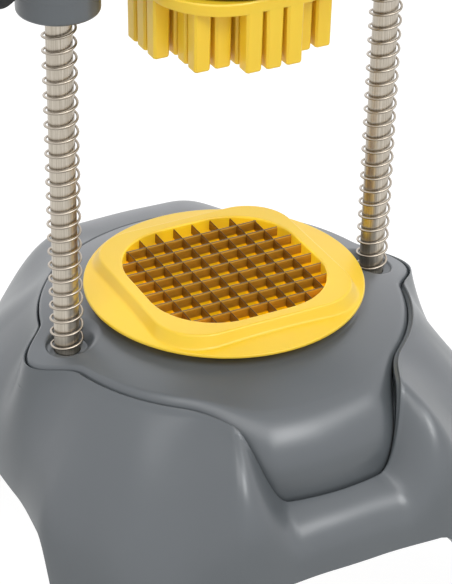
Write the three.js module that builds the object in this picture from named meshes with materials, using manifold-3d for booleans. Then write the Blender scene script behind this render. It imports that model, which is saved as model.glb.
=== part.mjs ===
// French fry cutter: a plastic base on four legs carries a lift-out ring of crossed blades,
// and a sprung head on two steel rods pushes the potato down through them.
// Millimetres, +Z up, front towards -Y. The origin is on the floor, below the middle of the blades.
import * as THREE from 'three';
import { mergeVertices } from 'three/addons/utils/BufferGeometryUtils.js';
import Module from 'manifold-3d';

const wasm = await Module();
wasm.setup();

// Driving dimensions
const bladeTop = 165;
const cell = 10;
const bladesEachWay = 8;
const seatGap = 0.3;
const cutOverrun = 5;

// Blades
const bladeThickness = 0.7;
const bladeDepth = 14;
const bladeSocketDepth = 2.2;

// Insert ring: a round flange under a rounded square collar, on a round spigot
const openingHalf = 45;
const openingCorner = 33;
const rimRise = 1;
const rimRound = 1.2;
const collarHalf = 51;
const collarCorner = 23;
const collarEdgeRound = 0.5;
const collarFootHalf = 53.7;
const collarFootCorner = 24;
const flangeRadius = 68;
const flangeDrop = 5.4;
const flangeThickness = 1.6;
const flangeEdgeRound = 0.5;
const flangeConeShare = 0.1;
const seatDrop = 10.3;
const seatRimRadius = 62;
const spigotRadius = 53.5;
const spigotDrop = 30;
const spigotChamfer = 1;

// Deck: a shallow dome with a lobe round each rod and a chin at the front
const domeDrop = 4.6;
const domeRadius = 274;
const deckWall = 3;
const deckRadius = 89.5;
const rodLobeLand = 8;
const chinReach = 23;
const deckEdgeRound = 4.5;
const deckBackRound = 1.5;
const deckUnderRound = 0.5;
const chinRound = 20;
const deckHoleClearance = 0.5;
const deckCollarDepth = 6;
const landWidth = 6;
const landRunout = 6;
const deckSkirtDrop = 32.3;
const chinSkirtDrop = 58.3;
const deckBossRadius = 4;
const deckScrewBite = 3;

// Rods, their pockets in the deck and their fixings below it
const rodSpacing = 166;
const rodRadius = 6;
const rodHoleClearance = 0.4;
const pocketRadius = 12;
const pocketClearance = 1.5;
const pocketWiden = 10.5;
const pocketFloorDrop = 22;
const pocketWall = 2.5;
const pocketFloor = 4;
const rodTailRadius = 5;
const rodTailLength = 20;
const rodChamfer = 1;
const washerRadius = 10;
const washerThickness = 1.6;
const washerClearance = 0.5;
const nutAcrossCorners = 18.5;
const nutHeight = 8;
const rodCapRadius = 9;
const rodCapWall = 4;
const rodTopAboveHead = 10;

// Support frame: a metal ring plate under the deck that carries both rods
const frameInner = 60;
const frameOuter = 85.5;
const frameThickness = 6;
const frameLobeRadius = 13;

// Base shell and its four legs
const shellWall = 4;
const seamGap = 1.2;
const seamDrop = 20;
const seamLobeDrop = 4.5;
const seamBackDrop = 2;
const chinSeamDrop = 56;
const seamRound = 1.6;
const ledgeWidth = 12.5;
const ledgeRodRelief = 5;
const wallBeyondRod = 37;
const wallHalfDepth = 135;
const legFlare = 22;
const soleHeight = 10;
const archHeight = 82;
const shoulderDip = 3;
const legShoulderDip = 22;
const wallTopDrop = 8;
const legWallTopDrop = 42;
const wallDraft = 2;
const legDraft = 8;
const footBossRadius = 14;
const footBossHeight = 26;
const footInset = 19;

// Rubber feet and the small screws
const footRadius = 13;
const footDishRadius = 8;
const footDishDepth = 3;
const screwHeadRadius = 4;
const screwHeadHeight = 2.4;
const screwShankRadius = 2;
const screwHoleClearance = 0.3;
const frameScrewRadius = 81.5;
const deckScrewRadius = 72;
const footScrewLength = 20;

// Springs
const springRadius = 7.4;
const wireDiameter = 1.2;
const springCurls = 23.75;
const curlSteps = 8;
const wireSides = 5;

// Head at its upper stop: yoke, bushes, pusher, cover and grips
const stroke = 130;
const fingerEntry = 4;
const fingerLength = 28;
const fingerClearance = 0.5;
const pusherPlateThickness = 6;
const pusherPlateInset = 0.8;
const yokeThickness = 28;
const yokeDiscRadius = 46;
const yokeBeamHalfDepth = 17;
const yokeRecessRadius = 41;
const yokeRecessDepth = 12;
const bossRadius = 19;
const bossBelow = 8;
const bossAbove = 4;
const bushOuterRadius = 9;
const bushFlangeRadius = 11;
const bushFlangeThickness = 2.7;
const coverThickness = 3;
const coverCrown = 9;
const coverPlugDepth = 4;
const crownShares = [[0.96, 0], [0.75, 0.55], [0.4, 0.9]];
const gripReach = 165;
const gripRadius = 15;
const gripNeckRadius = 12;
const stubRadius = 8;
const gripEndWall = 4;
const gripShoulder = 8;
const gripRound = 4;
const gripCornerShare = 0.3;
const pusherScrewRadius = 35.5;

// Angles round the base in degrees, and shares
const chinInnerAngle = 14;
const chinOuterAngle = 44;
const chinSeamInnerAngle = 12;
const chinSeamOuterAngle = 25;
const ledgeLeadAngle = 6;
const rodLobeAngle = 16;
const legAngle = 47;
const legSoleAngle = 7;
const legArchAngle = 25;
const legShoulderAngle = 38;
const legSlackAngle = 30;
const sideSlackInnerAngle = 32;
const sideSlackOuterAngle = 52;
const frontInnerAngle = 45;
const frontOuterAngle = 105;
const seamBackAngle = 28;
const seamBackSpread = 30;
const frameScrewAngle = 59;
const wallPlanPower = 2.5;
const shoulderReachShare = 0.5;
const legShoulderReachShare = 0.3;
const wallOuterShares = [0, 0.2, 0.38, 0.55, 0.75, 1];
const wallInnerShares = [0, 0.25, 0.6, 1];
const roomShares = [0, 0.6, 0.7, 0.8, 0.9, 1];
const wallCloseShare = 1e-4;
const roundSteps = 56;
const roundCrowding = 0.3;
const ringSteps = 40;
const turnSteps = 16;
const footSteps = 12;
const screwSteps = 8;
const nutSides = 6;

// Heights and places that follow from them
const rimTop = bladeTop + rimRise;
const flangeTop = bladeTop - flangeDrop;
const ringSeat = bladeTop - seatDrop;
const deckLand = ringSeat - seatGap;
const spigotBottom = bladeTop - spigotDrop;
const deckHole = spigotRadius + deckHoleClearance;
const pocketBase = bladeTop - pocketFloorDrop;
const cupBottom = pocketBase - pocketFloor;
const frameTop = cupBottom - seatGap;
const frameBottom = frameTop - frameThickness;
const washerTop = frameBottom - seatGap;
const nutTop = washerTop - washerThickness - seatGap;
const rodX = rodSpacing / 2;
const rodLobeReach = rodX + pocketRadius + rodLobeLand - deckRadius;
const wallHalfWidth = rodX + wallBeyondRod;
const yokeBottom = bladeTop - fingerEntry + stroke + fingerLength + pusherPlateThickness + seatGap;
const yokeTop = yokeBottom + yokeThickness;
const yokeMiddle = (yokeBottom + yokeTop) / 2;
const bossBottom = yokeBottom - bossBelow;
const bossTop = yokeTop + bossAbove;
const bushBottom = bossBottom - seatGap - bushFlangeThickness;
const plateTop = yokeBottom - seatGap;
const plateBottom = plateTop - pusherPlateThickness;
const fingerTip = plateBottom - fingerLength;
const rodTop = bossTop + rodTopAboveHead;
const screwHole = screwShankRadius + screwHoleClearance;
const footTop = soleHeight - seatGap;
const footScrewTip = footDishDepth + footScrewLength;
const degree = Math.PI / 180;

const material = (color, roughness, metalness) =>
  new THREE.MeshStandardMaterial({ color, roughness, metalness });
const greyPlastic = material(0x6e7276, 0.5, 0);
const yellowPlastic = material(0xf5d04a, 0.45, 0);
const bladeSteel = material(0xa9a49a, 0.3, 1);
const rodSteel = material(0xb9b7b2, 0.22, 1);
const springSteel = material(0xb3aca0, 0.3, 1);
const castMetal = material(0x9a9da0, 0.6, 1);
const zincSteel = material(0xa4a6a8, 0.4, 1);
const darkRubber = material(0x2b2c2e, 0.85, 0);
const whitePolymer = material(0xe4e2dc, 0.5, 0);

const model = new THREE.Group();

function put(name, geometry, finish, parent = model) {
  const mesh = new THREE.Mesh(geometry, finish);
  mesh.name = name;
  parent.add(mesh);
  return mesh;
}

// Mixing and easing
const mix = (a, b, share) => a + (b - a) * share;
const clampShare = (value) => Math.min(1, Math.max(0, value));
const ease = (value) => clampShare(value) ** 2 * (3 - 2 * clampShare(value));

// Degrees between a direction round the base and another one
function angleFrom(angle, centre) {
  const turn = (((angle / degree - centre) % 360) + 540) % 360 - 180;
  return Math.abs(turn);
}

// A geometry with its shared vertices merged and its flat triangles left out
function weld(geometry) {
  const bare = geometry.clone();
  bare.deleteAttribute('normal');
  bare.deleteAttribute('uv');
  const merged = mergeVertices(bare);
  const corners = merged.index.array;
  const kept = [];
  for (let i = 0; i < corners.length; i += 3) {
    const [a, b, c] = [corners[i], corners[i + 1], corners[i + 2]];
    if (a !== b && b !== c && c !== a) kept.push(a, b, c);
  }
  merged.setIndex(kept);
  return merged;
}

function toSolid(geometry) {
  const welded = weld(geometry);
  return new wasm.Manifold(new wasm.Mesh({
    numProp: 3,
    vertProperties: Float32Array.from(welded.attributes.position.array),
    triVerts: Uint32Array.from(welded.index.array),
  }));
}

function toGeometry(solid) {
  const mesh = solid.getMesh();
  const geometry = new THREE.BufferGeometry();
  geometry.setAttribute('position', new THREE.BufferAttribute(mesh.vertProperties, 3));
  geometry.setIndex(new THREE.BufferAttribute(mesh.triVerts, 1));
  return geometry;
}

const join = (first, ...others) => others.reduce((sum, next) => sum.add(next), first);
const cut = (first, ...others) => others.reduce((rest, next) => rest.subtract(next), first);

function surface(points, triangles) {
  const geometry = new THREE.BufferGeometry();
  geometry.setAttribute('position', new THREE.Float32BufferAttribute(points.flat(), 3));
  geometry.setIndex(triangles);
  return geometry;
}

// A closed outline of [radius, height] points, given for each direction, carried once round Z.
// The outline runs anticlockwise when radius points right and height points up.
// A crowding share above zero sets the steps closer together at the front than at the back.
function carriedRound(outlineAt, steps, crowding = 0) {
  const points = [];
  const triangles = [];
  const count = outlineAt(0).length;
  for (let k = 0; k < steps; k += 1) {
    const turn = (2 * Math.PI * k) / steps;
    const angle = turn - crowding * Math.cos(turn);
    for (const [radius, height] of outlineAt(angle)) {
      points.push([radius * Math.cos(angle), radius * Math.sin(angle), height]);
    }
    const here = k * count;
    const next = ((k + 1) % steps) * count;
    for (let i = 0; i < count; i += 1) {
      const j = (i + 1) % count;
      triangles.push(here + i, next + i, next + j, here + i, next + j, here + j);
    }
  }
  return surface(points, triangles);
}

// A turned piece about Z, at a place in plan
function turned(outline, steps = turnSteps, x = 0, y = 0) {
  return weld(carriedRound(() => outline, steps).translate(x, y, 0));
}

function disc(radius, low, high, x = 0, y = 0, steps = turnSteps) {
  return turned([[0, low], [radius, low], [radius, high], [0, high]], steps, x, y);
}

function sleeve(inner, outer, low, high, x = 0, y = 0, steps = turnSteps) {
  return turned([[inner, low], [outer, low], [outer, high], [inner, high]], steps, x, y);
}

function block(x0, x1, y0, y1, z0, z1) {
  return new THREE.BoxGeometry(x1 - x0, y1 - y0, z1 - z0)
    .translate((x0 + x1) / 2, (y0 + y1) / 2, (z0 + z1) / 2);
}

// A pan-head screw about Z: its head lies on `seat`, and its shank runs from there to `tip`
function screw(seat, tip, x, y) {
  const up = Math.sign(seat - tip);
  const crown = seat + up * screwHeadHeight;
  const outline = [
    [0, tip], [screwShankRadius, tip], [screwShankRadius, seat], [screwHeadRadius, seat],
    [screwHeadRadius, crown], [0, crown],
  ];
  return turned(up > 0 ? outline : outline.reverse(), screwSteps, x, y);
}

// Radius of a rounded square in a direction round Z
function roundedSquareRadius(half, corner, angle) {
  const c = Math.max(Math.abs(Math.cos(angle)), Math.abs(Math.sin(angle)));
  const s = Math.min(Math.abs(Math.cos(angle)), Math.abs(Math.sin(angle)));
  const straight = half - corner;
  if ((half * s) / c <= straight) return half / c;
  return straight * (c + s) + Math.sqrt(corner ** 2 - (straight * (c - s)) ** 2);
}

// Half the width of a rounded square at a distance from its middle line
function roundedSquareHalfWidth(half, corner, offset) {
  const past = Math.max(0, Math.abs(offset) - (half - corner));
  return half - corner + Math.sqrt(corner ** 2 - past ** 2);
}

// Shares of the features round the base
const chinShare = (angle) =>
  ease((chinOuterAngle - angleFrom(angle, -90)) / (chinOuterAngle - chinInnerAngle)) ** 2;
const chinSeamShare = (angle, lead = 0) =>
  ease((chinSeamOuterAngle + lead - angleFrom(angle, -90)) / (chinSeamOuterAngle - chinSeamInnerAngle));
const bump = (away, half) => (away < half ? Math.cos((Math.PI / 2) * (away / half)) ** 2 : 0);
const rodLobeShare = (angle) =>
  bump(Math.min(angleFrom(angle, 0), angleFrom(angle, 180)), rodLobeAngle);
const legDistance = (angle) => Math.min(
  ...[legAngle, 180 - legAngle, 180 + legAngle, -legAngle].map((way) => angleFrom(angle, way)),
);
const shoulderShare = (angle) => bump(legDistance(angle), legShoulderAngle);
const sideSlackShare = (angle) =>
  ease((sideSlackOuterAngle - Math.min(angleFrom(angle, 0), angleFrom(angle, 180)))
    / (sideSlackOuterAngle - sideSlackInnerAngle));
const slackShare = (angle) =>
  1 - (1 - bump(legDistance(angle), legSlackAngle)) * (1 - sideSlackShare(angle));
const frontShare = (angle) =>
  ease((frontOuterAngle - angleFrom(angle, -90)) / (frontOuterAngle - frontInnerAngle));
const seamBackShare = (angle) => bump(
  Math.min(angleFrom(angle, seamBackAngle), angleFrom(angle, 180 - seamBackAngle)),
  seamBackSpread,
);
const soleShare = (angle) =>
  ease((legArchAngle - legDistance(angle)) / (legArchAngle - legSoleAngle));

const domeHeight = (radius) => bladeTop - domeDrop - radius ** 2 / (2 * domeRadius);
const deckEdge = (angle) =>
  deckRadius + rodLobeReach * rodLobeShare(angle) + chinReach * chinShare(angle);
const skirtBottom = (angle, lead = 0) =>
  bladeTop - mix(deckSkirtDrop, chinSkirtDrop, chinSeamShare(angle, lead));

// Lengthwise and crosswise blades, halved into each other and let into the ring
function bladeOutline(halfLength, slotsBelow) {
  const slotHalf = bladeThickness / 2 + seatGap;
  const middle = bladeTop - bladeDepth / 2;
  const slotEnd = slotsBelow ? middle + seatGap / 2 : middle - seatGap / 2;
  const slotted = slotsBelow ? bladeTop - bladeDepth : bladeTop;
  const plain = slotsBelow ? bladeTop : bladeTop - bladeDepth;
  const shape = new THREE.Shape();
  shape.moveTo(-halfLength, plain);
  shape.lineTo(-halfLength, slotted);
  for (let i = 0; i < bladesEachWay; i += 1) {
    const at = (i - (bladesEachWay - 1) / 2) * cell;
    if (Math.abs(at) + slotHalf >= halfLength) continue;
    shape.lineTo(at - slotHalf, slotted);
    shape.lineTo(at - slotHalf, slotEnd);
    shape.lineTo(at + slotHalf, slotEnd);
    shape.lineTo(at + slotHalf, slotted);
  }
  shape.lineTo(halfLength, slotted);
  shape.lineTo(halfLength, plain);
  shape.closePath();
  return shape;
}

const bladeReach = (offset) =>
  roundedSquareHalfWidth(openingHalf, openingCorner, offset) + bladeSocketDepth;

function makeBlade(offset, lengthwise) {
  const shape = bladeOutline(bladeReach(offset), lengthwise);
  const options = { depth: bladeThickness, bevelEnabled: false };
  const plate = new THREE.ExtrudeGeometry(shape, options)
    .translate(0, 0, -bladeThickness / 2)
    .rotateX(Math.PI / 2);
  if (!lengthwise) plate.rotateZ(Math.PI / 2);
  return lengthwise ? plate.translate(0, offset, 0) : plate.translate(offset, 0, 0);
}

// Insert ring: rounded square opening and collar, coned round flange, seat and spigot
function ringOutline(angle) {
  const opening = roundedSquareRadius(openingHalf, openingCorner, angle);
  const collar = roundedSquareRadius(collarHalf, collarCorner, angle);
  const foot = roundedSquareRadius(collarFootHalf, collarFootCorner, angle);
  const flangeInside = flangeRadius - flangeEdgeRound;
  const flangeUnder = flangeTop - flangeThickness;
  return [
    [opening, spigotBottom],
    [spigotRadius - spigotChamfer, spigotBottom],
    [spigotRadius, spigotBottom + spigotChamfer],
    [spigotRadius, ringSeat],
    [seatRimRadius, ringSeat],
    [seatRimRadius + spigotChamfer, flangeUnder],
    [flangeInside, flangeUnder],
    [flangeRadius, flangeUnder + flangeEdgeRound],
    [flangeRadius, flangeTop - flangeEdgeRound],
    [flangeInside, flangeTop],
    [foot, flangeTop + (flangeInside - foot) * flangeConeShare],
    [collar, rimTop - collarEdgeRound],
    [collar - collarEdgeRound, rimTop],
    [opening + rimRound, rimTop],
    [opening, rimTop - rimRound],
  ];
}

function makeInsertRing() {
  const socketHalf = bladeThickness / 2 + seatGap;
  const socketLow = bladeTop - bladeDepth - seatGap;
  const socketHigh = bladeTop + seatGap;
  const sockets = [];
  for (let i = 0; i < bladesEachWay; i += 1) {
    const at = (i - (bladesEachWay - 1) / 2) * cell;
    const reach = bladeReach(at) + seatGap;
    sockets.push(toSolid(
      block(-reach, reach, at - socketHalf, at + socketHalf, socketLow, socketHigh)));
    sockets.push(toSolid(
      block(at - socketHalf, at + socketHalf, -reach, reach, socketLow, socketHigh)));
  }
  return toGeometry(cut(toSolid(carriedRound(ringOutline, ringSteps)), ...sockets));
}

// Deck cover: wall of even thickness under the dome, rolled over at its edge into a skirt
function deckOutline(angle) {
  const edge = deckEdge(angle);
  const edgeRound = mix(deckBackRound, deckEdgeRound, frontShare(angle));
  const round = mix(edgeRound, chinRound, chinShare(angle));
  const roundInside = Math.max(round - deckWall, deckUnderRound);
  const landEdge = deckHole + landWidth;
  const domeStart = landEdge + landRunout;
  const rolled = (outer, bend, drop, turn) => {
    const radius = outer - bend + bend * Math.sin(turn);
    return [radius, domeHeight(radius) - drop - bend * (1 - Math.cos(turn))];
  };
  const quarter = Math.PI / 2;
  const top = (share) => {
    const radius = mix(edge - round, domeStart, share);
    return [radius, domeHeight(radius)];
  };
  const underStart = deckHole + deckWall;
  const underLand = deckLand - deckWall;
  return [
    [deckHole, deckLand - deckCollarDepth],
    [underStart, deckLand - deckCollarDepth],
    [underStart, Math.min(underLand, domeHeight(underStart) - deckWall)],
    ...[0, quarter / 2, quarter].map((turn) => rolled(edge - deckWall, roundInside, deckWall, turn)),
    [edge - deckWall, skirtBottom(angle)],
    [edge, skirtBottom(angle)],
    ...[quarter, quarter * 2 / 3, quarter / 3, 0].map((turn) => rolled(edge, round, 0, turn)),
    top(0.5),
    top(1),
    [landEdge, deckLand],
    [deckHole, deckLand],
  ];
}

// Places in plan on a circle round Z, one in each quarter, at an angle from the X axis
function quarterPlaces(angle, radius) {
  return [angle, 180 - angle, 180 + angle, 360 - angle].map((way) => [
    radius * Math.cos(way * degree),
    radius * Math.sin(way * degree),
  ]);
}

const deckScrewPlaces = quarterPlaces(45, deckScrewRadius);
const frameScrewPlaces = quarterPlaces(frameScrewAngle, frameScrewRadius);

// The room above the middle of the deck's wall, which trims the pockets' cups under the dome
function roomOverDeck() {
  const reach = rodX + pocketRadius + pocketWall + cutOverrun;
  return turned([
    ...roomShares.map((share) => [reach * share, domeHeight(reach * share) - deckWall / 2]),
    [reach, bladeTop + cutOverrun], [0, bladeTop + cutOverrun],
  ], ringSteps);
}

function makeDeckCover() {
  const rodSides = [-rodX, rodX];
  const room = toSolid(roomOverDeck());
  const bossEnd = domeHeight(deckScrewRadius) - deckWall / 2;
  const cups = rodSides.map((x) =>
    cut(toSolid(disc(pocketRadius + pocketWall, cupBottom, bladeTop, x)), room));
  const bosses = deckScrewPlaces.map(([x, y]) =>
    toSolid(disc(deckBossRadius, cupBottom, bossEnd, x, y, screwSteps)));
  const pocketFloorRadius = springRadius + wireDiameter / 2 + pocketClearance;
  const pockets = rodSides.map((x) => toSolid(turned([
    [0, pocketBase], [pocketFloorRadius, pocketBase],
    [pocketFloorRadius + pocketWiden, bladeTop], [0, bladeTop],
  ], ringSteps / 2, x)));
  const holes = rodSides.map((x) =>
    toSolid(disc(rodRadius + rodHoleClearance, cupBottom - cutOverrun, bladeTop, x)));
  const screwHoles = deckScrewPlaces.map(([x, y]) =>
    toSolid(disc(screwHole, cupBottom - cutOverrun, cupBottom + deckScrewBite, x, y, screwSteps)));
  const body = join(toSolid(carriedRound(deckOutline, roundSteps, roundCrowding)), ...cups, ...bosses);
  return toGeometry(cut(body, ...pockets, ...holes, ...screwHoles));
}

// Support frame: ring plate with arms that end in an eye for each rod
function makeSupportFrame() {
  const plate = toSolid(disc(frameOuter, frameBottom, frameTop, 0, 0, ringSteps));
  const arms = toSolid(
    block(-rodX, rodX, -frameLobeRadius, frameLobeRadius, frameBottom, frameTop));
  const eyes = [-rodX, rodX].map((x) => toSolid(disc(frameLobeRadius, frameBottom, frameTop, x)));
  const through = (radius, x, y, steps) =>
    toSolid(disc(radius, frameBottom - cutOverrun, frameTop + cutOverrun, x, y, steps));
  const tails = [-rodX, rodX].map((x) => through(rodTailRadius + seatGap, x, 0, turnSteps));
  const screws = [...deckScrewPlaces, ...frameScrewPlaces]
    .map(([x, y]) => through(screwHole, x, y, screwSteps));
  const chute = through(frameInner, 0, 0, ringSteps);
  return toGeometry(cut(join(plate, arms, ...eyes), chute, ...tails, ...screws));
}

// Base shell: ledge and seam under the deck's edge, shoulder, wall, arches and legs
function wallRadius(angle) {
  const c = Math.abs(Math.cos(angle)) / wallHalfWidth;
  const s = Math.abs(Math.sin(angle)) / wallHalfDepth;
  const plan = (c ** wallPlanPower + s ** wallPlanPower) ** (-1 / wallPlanPower);
  return plan + legFlare * shoulderShare(angle);
}

const wallBottom = (angle) => mix(archHeight, soleHeight, soleShare(angle));

function shellOutline(angle) {
  const leg = shoulderShare(angle);
  const inner = deckEdge(angle) + seamGap;
  const seamTop = bladeTop - mix(seamDrop, chinSeamDrop, chinSeamShare(angle))
    - seamLobeDrop * rodLobeShare(angle) - seamBackDrop * seamBackShare(angle);
  const slack = slackShare(angle);
  const ledgeTop = skirtBottom(angle, ledgeLeadAngle) - seatGap;
  const ledgeBottom = ledgeTop - shellWall;
  const ledgeInner = inner - ledgeWidth + ledgeRodRelief * rodLobeShare(angle);
  const foot = wallRadius(angle);
  const start = inner + seamRound;
  const dip = mix(shoulderDip, legShoulderDip, slack);
  const wallDrop = mix(wallTopDrop, legWallTopDrop, slack);
  const reach = (foot - start) * mix(shoulderReachShare, legShoulderReachShare, slack);
  const curve = new THREE.CubicBezierCurve(
    new THREE.Vector2(start, seamTop),
    new THREE.Vector2(start + reach, seamTop - dip),
    new THREE.Vector2(foot - mix(wallDraft, legDraft, leg), seamTop - wallDrop),
    new THREE.Vector2(foot, wallBottom(angle)),
  );
  const inside = (t) => {
    const point = curve.getPoint(t);
    const along = curve.getTangent(t);
    return [
      point.x + along.y * shellWall,
      Math.max(point.y - along.x * shellWall, wallBottom(angle)),
    ];
  };
  let low = 0;
  let high = 1;
  while (high - low > wallCloseShare) {
    const t = (low + high) / 2;
    if (inside(t)[0] < inner + shellWall) low = t;
    else high = t;
  }
  return [
    [ledgeInner, ledgeBottom],
    [inner + shellWall, ledgeBottom],
    ...wallInnerShares.map((share) => inside(mix(high, 1, share))),
    ...wallOuterShares.map((t) => curve.getPoint(t).toArray()).reverse(),
    [inner, seamTop - seamRound],
    [inner, ledgeTop],
    [ledgeInner, ledgeTop],
  ];
}

const footPlaces = quarterPlaces(legAngle, wallRadius(legAngle * degree) - footInset);

function makeBaseShell() {
  const bosses = footPlaces.map(([x, y]) =>
    toSolid(disc(footBossRadius, soleHeight, soleHeight + footBossHeight, x, y)));
  const footHoles = footPlaces.map(([x, y]) => toSolid(
    disc(screwHole, soleHeight - cutOverrun, footScrewTip + seatGap, x, y, screwSteps)));
  const frameHoleLow = frameBottom - shellWall - cutOverrun;
  const frameHoles = frameScrewPlaces.map(([x, y]) => toSolid(
    disc(screwHole, frameHoleLow, frameBottom + cutOverrun, x, y, screwSteps)));
  const washerRooms = [-rodX, rodX].map((x) => toSolid(
    disc(washerRadius + washerClearance, frameHoleLow, frameBottom + cutOverrun, x)));
  const body = join(toSolid(carriedRound(shellOutline, roundSteps, roundCrowding)), ...bosses);
  return toGeometry(cut(body, ...footHoles, ...frameHoles, ...washerRooms));
}

// Feet
function makeFoot(x, y) {
  return turned([
    [screwHole, footDishDepth], [footDishRadius, footDishDepth], [footDishRadius, 0],
    [footRadius, 0], [footRadius, footTop], [screwHole, footTop],
  ], footSteps, x, y);
}

// Rod: a shoulder stands on the frame, and its thinner tail goes through washer and nut
function makeRod(x) {
  return turned([
    [0, cupBottom - rodTailLength],
    [rodTailRadius, cupBottom - rodTailLength],
    [rodTailRadius, cupBottom],
    [rodRadius, cupBottom],
    [rodRadius, rodTop - rodChamfer],
    [rodRadius - rodChamfer, rodTop],
    [0, rodTop],
  ], turnSteps, x);
}

function makeRodNut(x) {
  const low = nutTop - nutHeight;
  const hexagon = toSolid(disc(nutAcrossCorners / 2, low, nutTop, x, 0, nutSides));
  const bore = disc(rodTailRadius + seatGap, low - cutOverrun, nutTop + cutOverrun, x);
  return toGeometry(cut(hexagon, toSolid(bore)));
}

function makeRodCap(x) {
  const low = bossTop + seatGap;
  const bore = rodRadius + seatGap;
  const boreEnd = rodTop + seatGap;
  const top = boreEnd + rodCapWall;
  return turned([
    [bore, low], [rodCapRadius, low], [rodCapRadius, top - rodChamfer],
    [rodCapRadius - rodChamfer, top], [0, top], [0, boreEnd], [bore, boreEnd],
  ], turnSteps, x);
}

// Spring: one unbroken wire wound by formula, with a short upright end at the pocket and the bush
function springPath() {
  const low = pocketBase + seatGap;
  const high = bushBottom - seatGap;
  const climb = high - low - 2 * wireDiameter;
  const steps = springCurls * curlSteps;
  const path = [{ angle: 0, height: low, rise: 1 }];
  for (let k = 0; k <= steps; k += 1) {
    const share = k / steps;
    const atEnd = k === 0 || k === steps;
    path.push({
      angle: 2 * Math.PI * springCurls * share,
      height: low + wireDiameter + climb * share,
      rise: atEnd ? 0.5 : climb / Math.hypot(climb, 2 * Math.PI * springRadius * springCurls),
    });
  }
  path.push({ angle: 2 * Math.PI * springCurls, height: high, rise: 1 });
  return path.map(({ angle, height, rise }) => {
    const radial = new THREE.Vector3(Math.cos(angle), Math.sin(angle), 0);
    const level = new THREE.Vector3(-Math.sin(angle), Math.cos(angle), 0);
    const along = level.multiplyScalar(Math.sqrt(1 - rise ** 2)).add(new THREE.Vector3(0, 0, rise));
    const centre = radial.clone().multiplyScalar(springRadius).setZ(height);
    return { centre, radial, across: along.normalize().cross(radial) };
  });
}

function makeSpring(x) {
  const path = springPath();
  const points = [];
  const triangles = [];
  for (const { centre, radial, across } of path) {
    for (let i = 0; i < wireSides; i += 1) {
      const turn = (2 * Math.PI * i) / wireSides;
      const point = centre.clone()
        .addScaledVector(radial, (wireDiameter / 2) * Math.cos(turn))
        .addScaledVector(across, (wireDiameter / 2) * Math.sin(turn));
      points.push([point.x + x, point.y, point.z]);
    }
  }
  for (let k = 0; k + 1 < path.length; k += 1) {
    for (let i = 0; i < wireSides; i += 1) {
      const [a, b] = [k * wireSides + i, k * wireSides + ((i + 1) % wireSides)];
      triangles.push(a, b, b + wireSides, a, b + wireSides, a + wireSides);
    }
  }
  const last = (path.length - 1) * wireSides;
  for (let i = 1; i + 1 < wireSides; i += 1) {
    triangles.push(0, i + 1, i);
    triangles.push(last, last + i, last + i + 1);
  }
  return surface(points, triangles);
}

// Least gap between one curl of the wire and the next, measured on the wire's centre line
function springGap() {
  const centres = springPath().map((step) => step.centre);
  let least = Infinity;
  for (let i = 0; i < centres.length; i += 1) {
    for (let j = i + curlSteps / 2; j < centres.length; j += 1) {
      least = Math.min(least, centres[i].distanceTo(centres[j]));
    }
  }
  return least - wireDiameter;
}

const pusherScrewPlaces = quarterPlaces(45, pusherScrewRadius);

// Head: yoke with two bosses, a middle disc with a recess, and a stub for each grip
function makeYoke() {
  const middle = toSolid(disc(yokeDiscRadius, yokeBottom, yokeTop, 0, 0, ringSteps / 2));
  const beam = toSolid(
    block(-rodX, rodX, -yokeBeamHalfDepth, yokeBeamHalfDepth, yokeBottom, yokeTop));
  const bosses = [-rodX, rodX].map((x) => toSolid(disc(bossRadius, bossBottom, bossTop, x)));
  const stubEnd = gripReach - gripEndWall - seatGap;
  const stubs = [-1, 1].map((side) => toSolid(
    disc(stubRadius, rodX, stubEnd).rotateY((side * Math.PI) / 2).translate(0, 0, yokeMiddle)));
  const recess = toSolid(
    disc(yokeRecessRadius, yokeTop - yokeRecessDepth, yokeTop + cutOverrun, 0, 0, ringSteps / 2));
  const bores = [-rodX, rodX].map((x) => toSolid(
    disc(bushOuterRadius + seatGap, bossBottom - cutOverrun, bossTop + cutOverrun, x)));
  const screws = pusherScrewPlaces.map(([x, y]) =>
    toSolid(disc(screwHole, yokeBottom - cutOverrun, yokeTop, x, y, screwSteps)));
  return toGeometry(cut(join(middle, beam, ...bosses, ...stubs), recess, ...bores, ...screws));
}

function makeBush(x) {
  const bore = rodRadius + seatGap;
  return turned([
    [bore, bushBottom], [bushFlangeRadius, bushBottom],
    [bushFlangeRadius, bushBottom + bushFlangeThickness],
    [bushOuterRadius, bushBottom + bushFlangeThickness],
    [bushOuterRadius, bossTop], [bore, bossTop],
  ], turnSteps, x);
}

// Pusher: a plate with one square finger for each whole cell of the blades
function makePusher() {
  const fingerHalf = (cell - bladeThickness) / 2 - fingerClearance;
  const radiusAt = (angle) => roundedSquareRadius(openingHalf, openingCorner, angle) - pusherPlateInset;
  const plate = carriedRound((angle) => [
    [0, plateBottom], [radiusAt(angle), plateBottom], [radiusAt(angle), plateTop], [0, plateTop],
  ], ringSteps);
  const fingers = [];
  const reach = bladesEachWay / 2;
  for (let i = -reach; i <= reach; i += 1) {
    for (let j = -reach; j <= reach; j += 1) {
      const [x, y] = [i * cell, j * cell];
      const outer = [Math.abs(x) + fingerHalf, Math.abs(y) + fingerHalf];
      const wall = roundedSquareRadius(openingHalf, openingCorner, Math.atan2(outer[1], outer[0]));
      if (Math.hypot(...outer) > wall - fingerClearance) continue;
      fingers.push(toSolid(block(
        x - fingerHalf, x + fingerHalf, y - fingerHalf, y + fingerHalf,
        fingerTip, plateBottom + pusherPlateThickness / 2)));
    }
  }
  const holes = pusherScrewPlaces.map(([x, y]) => toSolid(
    disc(screwHole, plateBottom + pusherPlateThickness / 2, plateTop + cutOverrun, x, y, screwSteps)));
  return toGeometry(cut(join(toSolid(plate), ...fingers), ...holes));
}

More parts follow.
